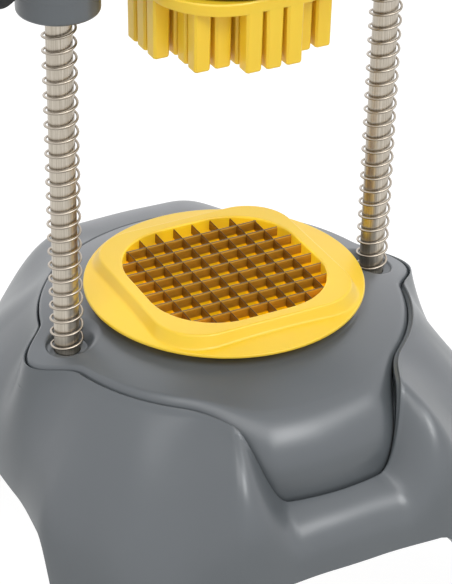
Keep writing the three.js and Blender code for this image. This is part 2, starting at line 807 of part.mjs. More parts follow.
// Cover: a crowned cap with a plug that drops into the yoke's recess
function makeYokeCover() {
  const plug = yokeRecessRadius - seatGap;
  const low = yokeTop + seatGap;
  const crown = low + coverThickness;
  const outside = crownShares.map(([reach, rise]) => [yokeDiscRadius * reach, crown + coverCrown * rise]);
  const [innerEdge, innerHeight] = outside[outside.length - 1];
  return turned([
    [plug - coverThickness, low - coverPlugDepth], [plug, low - coverPlugDepth], [plug, low],
    [yokeDiscRadius, low], [yokeDiscRadius, crown - rimRound],
    ...outside,
    [0, crown + coverCrown], [0, crown + coverCrown - coverThickness],
    [innerEdge, innerHeight - coverThickness],
    [plug - coverThickness, low],
  ], ringSteps / 2);
}

function makeGrip(side) {
  const neck = rodX + bossRadius + seatGap;
  const boreEnd = gripReach - gripEndWall;
  const bore = stubRadius + seatGap;
  const corner = gripRound * gripCornerShare;
  const grip = turned([
    [bore, neck], [gripNeckRadius, neck], [gripRadius, neck + gripShoulder],
    [gripRadius, gripReach - gripRound], [gripRadius - corner, gripReach - corner],
    [gripRadius - gripRound, gripReach], [0, gripReach], [0, boreEnd], [bore, boreEnd],
  ]);
  return grip.rotateY((side * Math.PI) / 2).translate(0, 0, yokeMiddle);
}

// Assembly
put('base_shell', makeBaseShell(), greyPlastic);
put('deck_cover', makeDeckCover(), greyPlastic);
put('support_frame', makeSupportFrame(), castMetal);

const insert = new THREE.Group();
model.add(insert);
put('insert_ring', makeInsertRing(), yellowPlastic, insert);
for (let i = 0; i < bladesEachWay; i += 1) {
  const at = (i - (bladesEachWay - 1) / 2) * cell;
  put(`lengthwise_blade_${i + 1}`, makeBlade(at, true), bladeSteel, insert);
  put(`crosswise_blade_${i + 1}`, makeBlade(at, false), bladeSteel, insert);
}

footPlaces.forEach(([x, y], i) => {
  put(`rubber_foot_${i + 1}`, makeFoot(x, y), darkRubber);
  put(`foot_screw_${i + 1}`, screw(footDishDepth - seatGap, footScrewTip, x, y), zincSteel);
});
frameScrewPlaces.forEach(([x, y], i) => {
  const tip = frameBottom - seatGap - shellWall;
  put(`frame_screw_${i + 1}`, screw(frameTop + seatGap, tip, x, y), zincSteel);
});
deckScrewPlaces.forEach(([x, y], i) => {
  const tip = cupBottom + deckScrewBite - seatGap;
  put(`deck_screw_${i + 1}`, screw(frameBottom - seatGap, tip, x, y), zincSteel);
});

const head = new THREE.Group();
model.add(head);
put('yoke', makeYoke(), greyPlastic, head);
put('yoke_cover', makeYokeCover(), greyPlastic, head);
put('pusher', makePusher(), yellowPlastic, head);
pusherScrewPlaces.forEach(([x, y], i) => {
  const seat = yokeTop - yokeRecessDepth + seatGap;
  const tip = plateBottom + pusherPlateThickness / 2 + seatGap;
  put(`pusher_screw_${i + 1}`, screw(seat, tip, x, y), zincSteel, head);
});

for (const [name, side] of [['left', -1], ['right', 1]]) {
  const x = side * rodX;
  put(`rod_${name}`, makeRod(x), rodSteel);
  put(`rod_washer_${name}`,
    sleeve(rodTailRadius + seatGap, washerRadius, washerTop - washerThickness, washerTop, x), zincSteel);
  put(`rod_nut_${name}`, makeRodNut(x), zincSteel);
  put(`rod_cap_${name}`, makeRodCap(x), greyPlastic);
  put(`spring_${name}`, makeSpring(x), springSteel);
  put(`guide_bush_${name}`, makeBush(x), whitePolymer, head);
  put(`grip_${name}`, makeGrip(side), darkRubber, head);
}

console.log(`least gap between spring curls: ${springGap().toFixed(2)} mm`);

export default model;
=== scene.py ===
import math

import bmesh
import bpy
import numpy as np
from mathutils import Matrix, Vector


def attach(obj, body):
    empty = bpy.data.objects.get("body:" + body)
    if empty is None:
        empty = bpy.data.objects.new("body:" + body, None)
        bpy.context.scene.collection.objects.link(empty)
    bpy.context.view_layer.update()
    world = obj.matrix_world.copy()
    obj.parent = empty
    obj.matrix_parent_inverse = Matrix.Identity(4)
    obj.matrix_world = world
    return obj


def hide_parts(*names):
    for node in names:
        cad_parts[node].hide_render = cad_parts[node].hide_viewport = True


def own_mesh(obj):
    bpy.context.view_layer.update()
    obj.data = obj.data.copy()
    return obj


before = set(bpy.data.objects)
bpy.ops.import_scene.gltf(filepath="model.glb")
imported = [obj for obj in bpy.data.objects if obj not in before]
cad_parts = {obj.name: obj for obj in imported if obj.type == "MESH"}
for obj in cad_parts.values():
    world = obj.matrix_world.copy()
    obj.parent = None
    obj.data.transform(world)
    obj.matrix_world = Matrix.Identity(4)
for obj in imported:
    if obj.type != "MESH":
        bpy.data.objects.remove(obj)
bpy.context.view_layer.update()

# The french fry cutter's looks. Sizes are in millimetres and become metres where a mesh is made.
MM = 0.001

# Base: heights and plan sizes, as the model has them
BLADE_TOP = 165
ROD_X = 83
ROD_RADIUS = 6
DOME_DROP = 4.6
DOME_RADIUS = 274
DECK_RADIUS = 89.5
DECK_WALL = 3
DECK_EDGE_ROUND = 4.5
DECK_BACK_ROUND = 1.5
CHIN_ROUND = 20
CHIN_REACH = 23
LOBE_REACH = 13.5
DECK_HOLE = 54
DECK_LAND = 154.4
LAND_EDGE = 60
LAND_STEP = 66
POCKET_RADIUS = 12
POCKET_FLOOR_RADIUS = 9.5
POCKET_SLOPE = 10.5 / 22
POCKET_FLOOR = 143
CUP_BOTTOM = 139
CUP_WALL = 2.5
POCKET_LIP = 3.2
SKIRT_DROP = 32.3
CHIN_SKIRT_DROP = 58.3
SEAM_DROP = 20
SEAM_LOBE_DROP = 4.5
SEAM_BACK_DROP = 2
CHIN_SEAM_DROP = 56
SEAM_BACK_GAP = 0.6
SEAM_FRONT_GAP = 1.9
SEAM_CHIN_GAP = 1.2
SEAM_ROUND = 0.9
SEAM_BEAD = 0.6
SHELL_WALL = 4
WALL_HALF_WIDTH = 120
WALL_HALF_DEPTH = 135
LEG_FLARE = 21.1
SOLE_HEIGHT = 10
ARCH_HEIGHT = 82
FOOT_INSET = 18.1
FOOT_BOSS_RADIUS = 14
FOOT_BOSS_HEIGHT = 26
DECK_BOSS_RADIUS = 4
DECK_COLLAR_DEPTH = 6
HEM_BEVEL = 0.4
LAND_BEVEL = 0.6
CUP_BEVEL = 1
LEDGE_WIDTH = 12.5
LEDGE_LOBE_CUT = 5
BEAD_SPREAD = 2.6
TONGUE_DEPTH = 4.5
TONGUE_STEP = 0.2
WALL_POWER = 2.5

# Base: directions, and how far their forms spread or fade, in degrees
FRONT = -90
CHIN_ANGLE = 44
CHIN_FADE = 30
SEAM_CHIN_ANGLE = 25
SEAM_CHIN_FADE = 13
LEDGE_LEAD = 6
FRONT_ANGLE = 105
FRONT_FADE = 60
SEAM_BACK_ANGLE = 28
SEAM_BACK_SPREAD = 30
LOBE_SPREAD = 16
LEG_ANGLE = 47
LEG_SPREAD = 38
SOLE_ANGLE = 25
SOLE_FADE = 18
SLACK_LEG_SPREAD = 30
SLACK_SIDE_ANGLE = 52
SLACK_SIDE_FADE = 20

# Base: pairs for mix, from the taut shoulder to the slack one, from back to front, or from arch to leg
SHOULDER_DIP = (3, 22)
SHOULDER_FALL = (8, 42)
SHOULDER_REACH_SHARES = (0.5, 0.3)
TONGUE_GAP = (0.3, 1.6)
TONGUE_TOP = (2.4, 1.3)
FOOT_LEAN = (2, 8)

# Insert: ring, the painted glow of its opening, and blades
OPENING_HALF = 45
OPENING_CORNER = 33
COLLAR_HALF = 51
COLLAR_CORNER = 23
COLLAR_FOOT_HALF = 53.7
COLLAR_FOOT_CORNER = 24
RIM_TOP = 166
FLANGE_RADIUS = 68
FLANGE_TOP = 159.6
FLANGE_UNDER = 158
SEAT_RIM = 62
RING_SEAT = 154.7
SPIGOT_RADIUS = 53.5
SPIGOT_BOTTOM = 135
FLANGE_RISE_SHARE = 0.1
GLOW_HALF = 46
GLOW_EDGE = 0.8
GLOW_POWER = 2.87
GLOW_TOP = 175
BLADES_EACH_WAY = 8
GOLD_DEPTH = 6.4
GOLD_SPREAD = 1.6
WEDGE_REACH = 60

# Rods, springs and head at its upper stop
ROD_BOTTOM = 119
ROD_TAIL_RADIUS = 5
ROD_PLAY = 0.4
ROD_TOP = 367.3
SPRING_LOW = 143.3
SPRING_HIGH = 314.3
SPRING_RADIUS = 7.4
SPRING_WIRE = 1.2
SPRING_TURNS = 23.75
SPRING_END_TURN = 0.4
YOKE_BOTTOM = 325.3
YOKE_TOP = 353.3
YOKE_MIDDLE = 339.3
YOKE_DISC = 46
YOKE_BEAM = 17
YOKE_LOW_ROUND = 3
YOKE_TOP_ROUND = 5
RECESS_RADIUS = 41
RECESS_DEPTH = 12
BOSS_RADIUS = 19
BOSS_BOTTOM = 317.3
BOSS_TOP = 357.3
BOSS_STEP = 0.4
BUSH_BOTTOM = 314.3
BUSH_RADIUS = 9
BUSH_FLANGE = 11
BUSH_FLANGE_HEIGHT = 2.7
PLATE_BOTTOM = 319
PLATE_TOP = 325
PLATE_GAP = 0.8
FINGER_TIP = 291
FINGER_HALF = 4.15
FINGER_CORNER = 1.4
FINGER_TAPER = 0.25
FINGER_GAP = 0.5
FINGERS_EACH_WAY = 4
CELL = 10
COVER_LOW = 353.6
COVER_EDGE = 356.6
COVER_CROWN = 9
COVER_WALL = 3
COVER_ROUND = 2
COVER_SPIGOT = 4
COVER_BEVEL = 0.5
STUB_RADIUS = 8
GRIP_START = 102.3
GRIP_END = 165
GRIP_RADIUS = 15
GRIP_NECK = 12
GRIP_SHOULDER = 9
GRIP_ROUND = 5
GRIP_CAP = 4
GRIP_BEVEL = 0.6
GRIP_GROOVES = 7
GRIP_GROOVE_DEPTH = 1.1
PUSHER_SCREW_RADIUS = 35.5

# Fixings under the deck
SLIT = 0.3
OVERRUN = 2
POCKET_OVERRUN = 5
FRAME_INNER = 60
FRAME_OUTER = 85.5
FRAME_EYE = 13
FRAME_EYE_SPREAD = 9
FRAME_ROUND = 0.8
FRAME_BEVEL = 0.5
FRAME_TOP = 138.7
FRAME_BOTTOM = 132.7
WASHER_RADIUS = 10
WASHER_TOP = 132.4
WASHER_BOTTOM = 130.8
NUT_TOP = 130.5
NUT_BOTTOM = 122.5
NUT_RADIUS = 9.25
CAP_RADIUS = 9
CAP_TOP = 371.6
FOOT_RADIUS = 13
FOOT_DISH = 8
FOOT_DISH_DEPTH = 3
FOOT_TOP = 9.7
SCREW_HEAD = 4
SCREW_HEAD_HEIGHT = 2.4
SCREW_SHANK = 2
SCREW_COVER = 3
FOOT_SCREW_LENGTH = 20
FRAME_SCREW_RADIUS = 81.5
FRAME_SCREW_ANGLE = 59
DECK_SCREW_RADIUS = 72


# Mixing and easing
def mix(a, b, share):
    return a + (b - a) * share


def ease(value):
    """Zero below 0, one above 1, and v*v*(3 - 2v) between."""
    v = np.clip(value, 0, 1)
    return v * v * (3 - 2 * v)


def away(angle, centre):
    """Degrees between a direction in radians and a centre in degrees, by the shorter way round."""
    return np.abs((np.degrees(angle) - centre + 180) % 360 - 180)


def nearest(angle, *ways):
    """Degrees from a direction in radians to the nearest of these in degrees."""
    return np.min([away(angle, way) for way in ways], axis=0)


def bump(distance, half):
    """One at no distance, falling as a squared cosine to zero at half."""
    return np.where(distance < half, np.cos(np.pi / 2 * np.minimum(distance / half, 1)) ** 2, 0)


def bend(t, a, c, b):
    """The bend from a past c to b: (1-t)(1-t)a + 2t(1-t)c + t*t*b for t from 0 to 1."""
    return (1 - t) ** 2 * a + 2 * t * (1 - t) * c + t ** 2 * b


# Meshes
def grid_faces(rows, columns):
    """Four-cornered faces of a grid that is closed both ways, by whole-array index sums."""
    row, column = np.meshgrid(np.arange(rows), np.arange(columns), indexing="ij")
    next_row = (row + 1) % rows
    next_column = (column + 1) % columns
    corners = [row * columns + column, next_row * columns + column,
               next_row * columns + next_column, row * columns + next_column]
    return np.stack(corners, -1).reshape(-1, 4)


def section(angle, *pieces):
    """The pieces of an outline one after another, each a pair of radius and height.

    Either may be one number, a column with a value for each direction, or a whole table.
    """
    shown = [np.broadcast_arrays(angle * 0, *map(np.atleast_2d, piece))[1:] for piece in pieces]
    return [np.concatenate([pair[k] for pair in shown], axis=1) for k in (0, 1)]


def carried_round(outline, steps, place=(0, 0), start=0):
    """A closed outline of radius and height, given for each direction, carried once round an upright axis.

    Point = place + (radius * cos, radius * sin, height). The outline runs anticlockwise
    when radius points right and height up, so that the faces look outwards.
    """
    angle = start + np.linspace(0, 2 * np.pi, steps, endpoint=False)[:, None]
    radius, height = section(angle, outline(angle))
    x = place[0] + radius * np.cos(angle)
    y = place[1] + radius * np.sin(angle)
    points = np.stack([x, y, height], -1).reshape(-1, 3)
    return points, grid_faces(steps, radius.shape[1])


def rounded(corners, reaches, steps=5):
    """The outline through these corners, each cut back by its reach and bent round its corner.

    It bends from one reach before each corner to one reach after it. The corners are rows of
    [radius, height].
    """
    c = np.asarray(corners, float)
    reach = np.asarray(reaches, float)[:, None]

    def towards(other):
        step = other - c
        length = np.maximum(np.linalg.norm(step, axis=-1, keepdims=True), 1e-9)
        return c + step / length * np.minimum(reach, length * 0.49)

    before = towards(np.roll(c, 1, axis=-2))
    after = towards(np.roll(c, -1, axis=-2))
    t = np.linspace(0, 1, steps)[:, None]
    bends = bend(t, before[..., None, :], c[..., None, :], after[..., None, :])
    return bends.reshape(*c.shape[:-2], -1, 2)


def turned(corners, reaches, steps=64, place=(0, 0), start=0.013):
    """A turned piece: its outline of [radius, height] corners, rounded by the reaches, carried round."""
    outline = rounded(corners, reaches)
    return carried_round(lambda angle: (outline[None, :, 0], outline[None, :, 1]), steps, place, start)


def block(radius, low, high, bore=0):
    """The four corners of a plain round block, or of a tube where a bore is given."""
    return [[bore, low], [radius, low], [radius, high], [bore, high]]


def in_each(angle, *corners):
    """The corners of an outline, each a pair of radius and height, as a table for each direction."""
    return np.stack([np.concatenate([angle * 0 + r, angle * 0 + z], axis=1) for r, z in corners], axis=1)


def carried_bent(corners_at, reaches, steps, place=(0, 0), start=0):
    """A piece carried round whose corners change with the direction and are rounded by the reaches."""
    def outline(angle):
        bent = rounded(corners_at(angle), reaches)
        return bent[..., 0], bent[..., 1]
    return carried_round(outline, steps, place, start)


def carried_along(path, outline):
    """A closed outline of [inset, height] carried along a closed plan path, with flat ends closed inside.

    Point = path - inset * outward normal, at the height. The first and last rows of the
    outline bound two flat faces that close the piece.
    """
    ahead = np.roll(path, -1, axis=0) - np.roll(path, 1, axis=0)
    normal = np.stack([ahead[:, 1], -ahead[:, 0]], -1)
    normal /= np.linalg.norm(normal, axis=1, keepdims=True)
    inset = outline[None, :, 0, None]
    plan = path[:, None, :] - normal[:, None, :] * inset
    height = np.broadcast_to(outline[None, :, 1, None], plan.shape[:2] + (1,))
    points = np.concatenate([plan, height], -1).reshape(-1, 3)
    rows, columns = plan.shape[:2]
    faces = grid_faces(rows, columns).reshape(rows, columns, 4)[:, :-1].reshape(-1, 4).tolist()
    start = np.arange(rows) * columns
    faces.append(start[::-1].tolist())
    faces.append((start + columns - 1).tolist())
    return points, faces


def make_mesh(name, points, faces):
    """A mesh in metres from points in millimetres, with doubled points merged."""
    mesh = bpy.data.meshes.new(name)
    mesh.from_pydata((np.asarray(points) * MM).tolist(), [], [list(f) for f in faces])
    shape = bmesh.new()
    shape.from_mesh(mesh)
    bmesh.ops.remove_doubles(shape, verts=shape.verts, dist=1e-7)
    bmesh.ops.dissolve_degenerate(shape, edges=shape.edges, dist=1e-7)
    shape.to_mesh(mesh)
    shape.free()
    return mesh


def new_object(name, data):
    made = bpy.data.objects.new(name, data)
    bpy.context.scene.collection.objects.link(made)
    return made


def put(name, shape, finish, body, replaced, sharp=35):
    """A new piece of the object: its mesh, finish and body, and the nodes that it stands for.

    Its one material slot holds the finish.
    """
    mesh = shape if isinstance(shape, bpy.types.Mesh) else make_mesh(name, *shape)
    mesh.shade_smooth()
    mesh.set_sharp_from_angle(angle=math.radians(sharp))
    mesh.materials.clear()
    mesh.materials.append(FINISHES[finish])
    piece = new_object(name, mesh)
    weighted = piece.modifiers.new("even_normals", "WEIGHTED_NORMAL")
    weighted.keep_sharp = True
    weighted.weight = 50
    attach(piece, body)
    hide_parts(*replaced)
    return piece


def combined(name, first, joined=(), removed=()):
    """One mesh from the first shape with others joined to it and others cut from it."""
    scratch = []

    def holder(label, shape):
        scratch.append(new_object(label, make_mesh(label, *shape)))
        return scratch[-1]

    base = holder(name + "_base", first)
    for kind, shapes in (("UNION", joined), ("DIFFERENCE", removed)):
        for shape in shapes:
            step = base.modifiers.new(kind, "BOOLEAN")
            step.operation = kind
            step.solver = "MANIFOLD"
            step.object = holder(name + "_tool", shape)
    bpy.context.view_layer.update()
    evaluated = base.evaluated_get(bpy.context.evaluated_depsgraph_get())
    mesh = bpy.data.meshes.new_from_object(evaluated)
    mesh.name = name
    for thing in scratch:
        old = thing.data
        bpy.data.objects.remove(thing)
        bpy.data.meshes.remove(old)
    return mesh


# Finishes
class Flow:
    """A value on its way through a finish. The operators add Math nodes."""

    def __init__(self, finish, socket):
        self.finish = finish
        self.socket = socket

    def math(self, operation, first, second=None):
        inputs = {0: first} if second is None else {0: first, 1: second}
        return self.finish.node("ShaderNodeMath", {"operation": operation}, inputs)

    def worked(operation, swapped=False):
        """The method for an operator, with the other value first where they are swapped."""
        def method(self, other):
            return self.math(operation, other, self) if swapped else self.math(operation, self, other)
        return method

    __add__, __radd__ = worked("ADD"), worked("ADD", True)
    __sub__, __rsub__ = worked("SUBTRACT"), worked("SUBTRACT", True)
    __mul__, __rmul__ = worked("MULTIPLY"), worked("MULTIPLY", True)
    __truediv__, __pow__ = worked("DIVIDE"), worked("POWER")


class Finish:
    """A material made of nodes round one shader, whose plain values are set on its own sockets."""

    def __init__(self, name, surface):
        self.material = bpy.data.materials.new(name)
        self.material.use_nodes = True
        self.tree = self.material.node_tree
        self.tree.nodes.clear()
        self.shader = self.tree.nodes.new("ShaderNodeBsdfPrincipled")
        self.output = self.tree.nodes.new("ShaderNodeOutputMaterial")
        self.tree.links.new(self.shader.outputs[0], self.output.inputs["Surface"])
        for label, value in surface.items():
            self.shader.inputs[label].default_value = value

    def node(self, kind, settings=None, inputs=None, out=0):
        """Adds a node of this type, sets its settings and then its sockets, and gives one output."""
        made = self.tree.nodes.new(kind)
        for label, value in (settings or {}).items():
            setattr(made, label, value)
        for label, value in (inputs or {}).items():
            self.feed(made.inputs[label], value)
        return Flow(self, made.outputs[out])

    def feed(self, socket, value):
        if isinstance(value, Flow):
            self.tree.links.new(value.socket, socket)
        else:
            socket.default_value = value

    def place(self, stretch=(1, 1, 1)):
        """The object's own coordinates in metres, stretched along each axis."""
        coordinates = self.node("ShaderNodeTexCoord", out="Object")
        return self.node("ShaderNodeMapping", {}, {"Vector": coordinates, "Scale": stretch})

    def along(self, axis):
        """The object's own coordinate along one axis, in metres."""
        return self.node("ShaderNodeSeparateXYZ", {}, {"Vector": self.place()}, out=axis)

    def clamped(self, value):
        return self.node("ShaderNodeClamp", {}, {0: value})

    def noise(self, scale, detail=2, stretch=(1, 1, 1), roughness=0.5):
        """Cloudy noise about one half, whose lumps are about 1/scale metres across."""
        inputs = {"Vector": self.place(stretch), "Scale": scale, "Detail": detail, "Roughness": roughness}
        return self.node("ShaderNodeTexNoise", {}, inputs)

    def blend(self, share, first, second):
        """A colour from first to second by the share."""
        inputs = {"Factor": share, 6: first, 7: second}
        return self.node("ShaderNodeMix", {"data_type": "RGBA"}, inputs, out=2)

    def relief(self, height, strength, distance):
        """A bump of this height value, at a distance in metres."""
        inputs = {"Height": height, "Strength": strength, "Distance": distance}
        self.feed(self.shader.inputs["Normal"], self.node("ShaderNodeBump", {}, inputs))

    def colour(self, value):
        self.feed(self.shader.inputs["Base Color"], value)

    def tone(self, share, first, second):
        """Its colour, from one screen shade to another by the share."""
        self.colour(self.blend(share, shade(*first), shade(*second)))

    def glow(self, share, colour):
        """A painted glow, light that no lamp gives, rising from nothing to this colour by the share."""
        self.feed(self.shader.inputs["Emission Color"], self.blend(share, (0, 0, 0, 1), colour))

    def rough(self, value):
        self.feed(self.shader.inputs["Roughness"], value)


def shade(red, green, blue):
    """A colour written as it looks on a screen, from 0 to 255, as the linear colour that the shader takes."""
    value = np.array([red, green, blue]) / 255
    linear = np.where(value <= 0.04045, value / 12.92, ((value + 0.055) / 1.055) ** 2.4)
    return (*linear.tolist(), 1)


def grey_plastic(finish):
    """Satin moulded plastic with a fine spark-eroded grain and a faint flow mottling."""
    finish.tone(finish.noise(18, 3), (87, 92, 96), (96, 101, 104))
    finish.rough(0.27 + 0.07 * finish.noise(60, 2))
    finish.relief(finish.noise(2400, 2), 0.12, 0.00012)


def yellow_plastic(finish):
    """Smooth satin yellow plastic, a little uneven in tone, with a painted glow on the walls of its opening.

    The opening is where |x|**p + |y|**p is under h**p, with GLOW_POWER as p and GLOW_HALF as h,
    and below GLOW_TOP, so that the pusher doesn't glow.
    """
    finish.tone(finish.noise(25, 3), (245, 202, 40), (249, 210, 56))
    # Painted light: the walls inside the opening glow, standing in for the light that reaches them there.
    parts = [finish.along(axis) for axis in "XY"]
    across = sum(part.math("ABSOLUTE", part) ** GLOW_POWER for part in parts) ** (1 / GLOW_POWER)
    inside = finish.clamped((GLOW_HALF * MM - across) / (GLOW_EDGE * MM))
    finish.glow(inside * finish.clamped(GLOW_TOP - finish.along("Z") / MM), (0.34, 0.21, 0.002, 1))
    finish.rough(0.32 + 0.1 * finish.noise(90, 2))
    finish.relief(finish.noise(1800, 2), 0.06, 0.0001)


def blade_steel(finish, high, low, edge):
    """Rolled strip steel with fine lines along the strip and a painted warm reflection of the plastic round
    it.

    The painted reflection darkens downwards as painted shade, turns gold and glows as a painted highlight in
    a strip at GOLD_DEPTH, and the ground edge is bare of it.
    """
    lines = finish.noise(1, 4, stretch=(90, 90, 5200), roughness=0.7)
    broad = finish.noise(1, 2, stretch=(160, 160, 700))
    # Painted shade: the shades run darker with depth below the top edge, into the cells.
    depth = BLADE_TOP - finish.along("Z") / MM
    share = depth * 0.15 - 1.05 + (lines * 0.65 + broad * 0.35) * 2.1
    # Painted highlight: a strip of gold round GOLD_DEPTH, which glows as well.
    offset = depth - GOLD_DEPTH
    painted_gold_glow = (GOLD_SPREAD - offset.math("ABSOLUTE", offset)) * 1.4
    painted_cast = finish.blend(painted_gold_glow, finish.blend(share, shade(*high), shade(*low)), shade(240, 190, 20))
    finish.glow(painted_gold_glow, (0.3, 0.18, 0, 1))
    finish.colour(finish.blend(1.5 - depth * 3, painted_cast, shade(*edge)))
    finish.rough(0.25 + 0.3 * lines)
    finish.relief(lines, 0.25, 0.00004)


# Painted reflection: warm shades for the lit faces of the lengthwise blades.
def lengthwise_steel(finish):
    blade_steel(finish, (212, 162, 56), (170, 122, 22), (108, 104, 92))


# Painted shade: the same steel as the lengthwise blades, in darker shades and a darker edge for faces that
# face away from the light.
def crosswise_steel(finish):
    blade_steel(finish, (154, 110, 35), (126, 88, 18), (74, 58, 32))


def rod_steel(finish):
    """Drawn and polished stainless bar: faint lines along the bar and a few turns of wear."""
    lines = finish.noise(1, 3, stretch=(3800, 3800, 24))
    wear = finish.noise(1, 2, stretch=(300, 300, 2600))
    finish.tone(lines * 2 - 0.5, (150, 141, 126), (208, 200, 187))
    finish.rough(0.3 + 0.2 * lines * wear)
    finish.relief(lines, 0.08, 0.00003)


def spring_steel(finish):
    """Bright spring wire, warm grey, a little duller in patches."""
    patches = finish.noise(260, 2)
    finish.tone(patches, (140, 132, 120), (168, 160, 147))
    finish.rough(0.26 + 0.16 * patches)
    finish.relief(finish.noise(2600, 2), 0.1, 0.00003)


def cast_metal(finish):
    """Sand-blasted cast plate."""
    grain = finish.noise(1400, 4, roughness=0.7)
    finish.tone(finish.noise(60, 3), (140, 143, 146), (164, 167, 170))
    finish.rough(0.5 + 0.2 * grain)
    finish.relief(grain, 0.4, 0.0002)


def zinc_steel(finish):
    """Zinc-plated fixings with a crystalline bloom."""
    spangle = finish.node("ShaderNodeTexVoronoi", {}, {"Vector": finish.place(), "Scale": 420})
    finish.tone(spangle, (168, 170, 174), (190, 192, 194))
    finish.rough(0.3 + 0.2 * spangle)


def dark_rubber(finish):
    """Matt rubber with a fine stipple and a dusty bloom."""
    stipple = finish.noise(1500, 3)
    finish.tone(finish.noise(40, 3), (38, 39, 41), (52, 53, 55))
    finish.rough(0.68 + 0.2 * stipple)
    finish.relief(stipple, 0.35, 0.0002)


def white_polymer(finish):
    """Turned bearing polymer with fine rings from the tool."""
    rings = finish.noise(1, 2, stretch=(60, 60, 3000))
    finish.tone(rings, (222, 219, 210), (233, 230, 223))
    finish.rough(0.4 + 0.15 * rings)
    finish.relief(rings, 0.15, 0.00005)


# The yellow's subsurface is real; the emission strengths let the painted glows show, in the yellow's opening
# and in the blades' gold strip.
SATIN = {"Specular IOR Level": 0.5, "IOR": 1.5}
SUBSURFACE_AND_PAINTED_GLOW = {"Subsurface Weight": 0.1, "Emission Strength": 1, "Subsurface Radius": (0.006, 0.003, 0.0008),
               "Subsurface Scale": 0.5}
STRIP_WITH_PAINTED_GLOW = {"Metallic": 0.5, "Emission Strength": 1}
METAL = {"Metallic": 1}
FINISHES = {}
for dress, surface in (
    (grey_plastic, SATIN), (yellow_plastic, SATIN | SUBSURFACE_AND_PAINTED_GLOW), (lengthwise_steel, STRIP_WITH_PAINTED_GLOW),
    (crosswise_steel, STRIP_WITH_PAINTED_GLOW), (rod_steel, METAL), (spring_steel, METAL), (cast_metal, METAL),
    (zinc_steel, METAL), (dark_rubber, {"Specular IOR Level": 0.35}),
    (white_polymer, {"Specular IOR Level": 0.5}),
):
    finish = Finish(dress.__name__, surface)
    dress(finish)
    FINISHES[dress.__name__] = finish.material


# Shapes of the base
def chin_share(angle):
    """How far the chin is out in a direction: eased towards the front, squared."""
    return ease((CHIN_ANGLE - away(angle, FRONT)) / CHIN_FADE) ** 2


def chin_seam_share(angle, lead=0):
    """How far the seam is down on the chin: eased towards the front, and sooner by the lead."""
    return ease((SEAM_CHIN_ANGLE + lead - away(angle, FRONT)) / SEAM_CHIN_FADE)


def front_share(angle):
    """How much a direction belongs to the front: eased towards it."""
    return ease((FRONT_ANGLE - away(angle, FRONT)) / FRONT_FADE)


def lobe_share(angle):
    """How far the lobe round a rod is out: a squared cosine each way."""
    return bump(nearest(angle, 0, 180), LOBE_SPREAD)


def leg_distance(angle):
    """Degrees to the nearest leg."""
    return nearest(angle, *quarter_ways(LEG_ANGLE))


def dome_height(radius):
    """The deck's dome: a parabola down from its middle."""
    return BLADE_TOP - DOME_DROP - radius ** 2 / (2 * DOME_RADIUS)


def deck_edge(angle):
    """The deck's outer radius in a direction, with its lobes and chin."""
    return DECK_RADIUS + LOBE_REACH * lobe_share(angle) + CHIN_REACH * chin_share(angle)


def skirt_bottom(angle, lead=0):
    """The skirt's lower edge. The ledge takes it with a lead, so that the skirt clears it."""
    return BLADE_TOP - mix(SKIRT_DROP, CHIN_SKIRT_DROP, chin_seam_share(angle, lead))


def deck_outline(angle):
    """The deck's section in a direction: collar, underside, skirt, roll-over, dome and land.

    The roll-over turns by a quarter about a centre one round inside the edge, and follows the dome.
    """
    edge = deck_edge(angle)
    roll = mix(mix(DECK_BACK_ROUND, DECK_EDGE_ROUND, front_share(angle)), CHIN_ROUND, chin_share(angle))
    inner_roll = np.maximum(roll - DECK_WALL, 0.5)

    def rolled(outer, radius, drop, turn):
        out = outer - radius + radius * np.sin(turn)
        return out, dome_height(out) - drop - radius * (1 - np.cos(turn))

    def dome(share, drop):
        out = mix(LAND_STEP, edge - roll, share)
        return out, dome_height(out) - drop

    rise = np.linspace(0, np.pi / 2, 12)[None, :]
    run = np.linspace(0, 1, 26)[None, 1:-1]
    hem = skirt_bottom(angle)
    collar_low = DECK_LAND - DECK_COLLAR_DEPTH
    under = DECK_HOLE + DECK_WALL
    return section(
        angle,
        (DECK_HOLE, collar_low),
        (under, collar_low),
        (under, dome_height(under) - DECK_WALL),
        dome(run[:, ::3], DECK_WALL),
        rolled(edge - DECK_WALL, inner_roll, DECK_WALL, rise[:, ::2]),
        (edge - DECK_WALL, hem),
        (edge - HEM_BEVEL, hem),
        (edge, hem + HEM_BEVEL),
        rolled(edge, roll, 0, rise[:, ::-1]),
        dome(run[:, ::-1], 0),
        (LAND_STEP, dome_height(LAND_STEP)),
        (LAND_STEP - 0.8, dome_height(LAND_STEP) + 0.5),
        (LAND_EDGE, DECK_LAND),
        (DECK_HOLE + LAND_BEVEL, DECK_LAND),
        (DECK_HOLE, DECK_LAND - LAND_BEVEL),
    )


def dome_at(x, radius, angle):
    """The dome's height at a radius and direction about a rod."""
    return dome_height(np.hypot(x + radius * np.cos(angle), radius * np.sin(angle)))


def pocket_cup(side):
    """The cup round a rod's pocket: a round wall from its bottom up to the middle of the dome's wall."""
    x = side * ROD_X
    cup = POCKET_RADIUS + CUP_WALL

    def outline(angle):
        return section(angle, (0, CUP_BOTTOM), (cup - CUP_BEVEL, CUP_BOTTOM), (cup, CUP_BOTTOM + CUP_BEVEL),
                       (cup, dome_at(x, cup, angle) - DECK_WALL / 2), (0, dome_height(ROD_X) - DECK_WALL / 2))

    return carried_round(outline, 72, (x, 0), start=0.013)


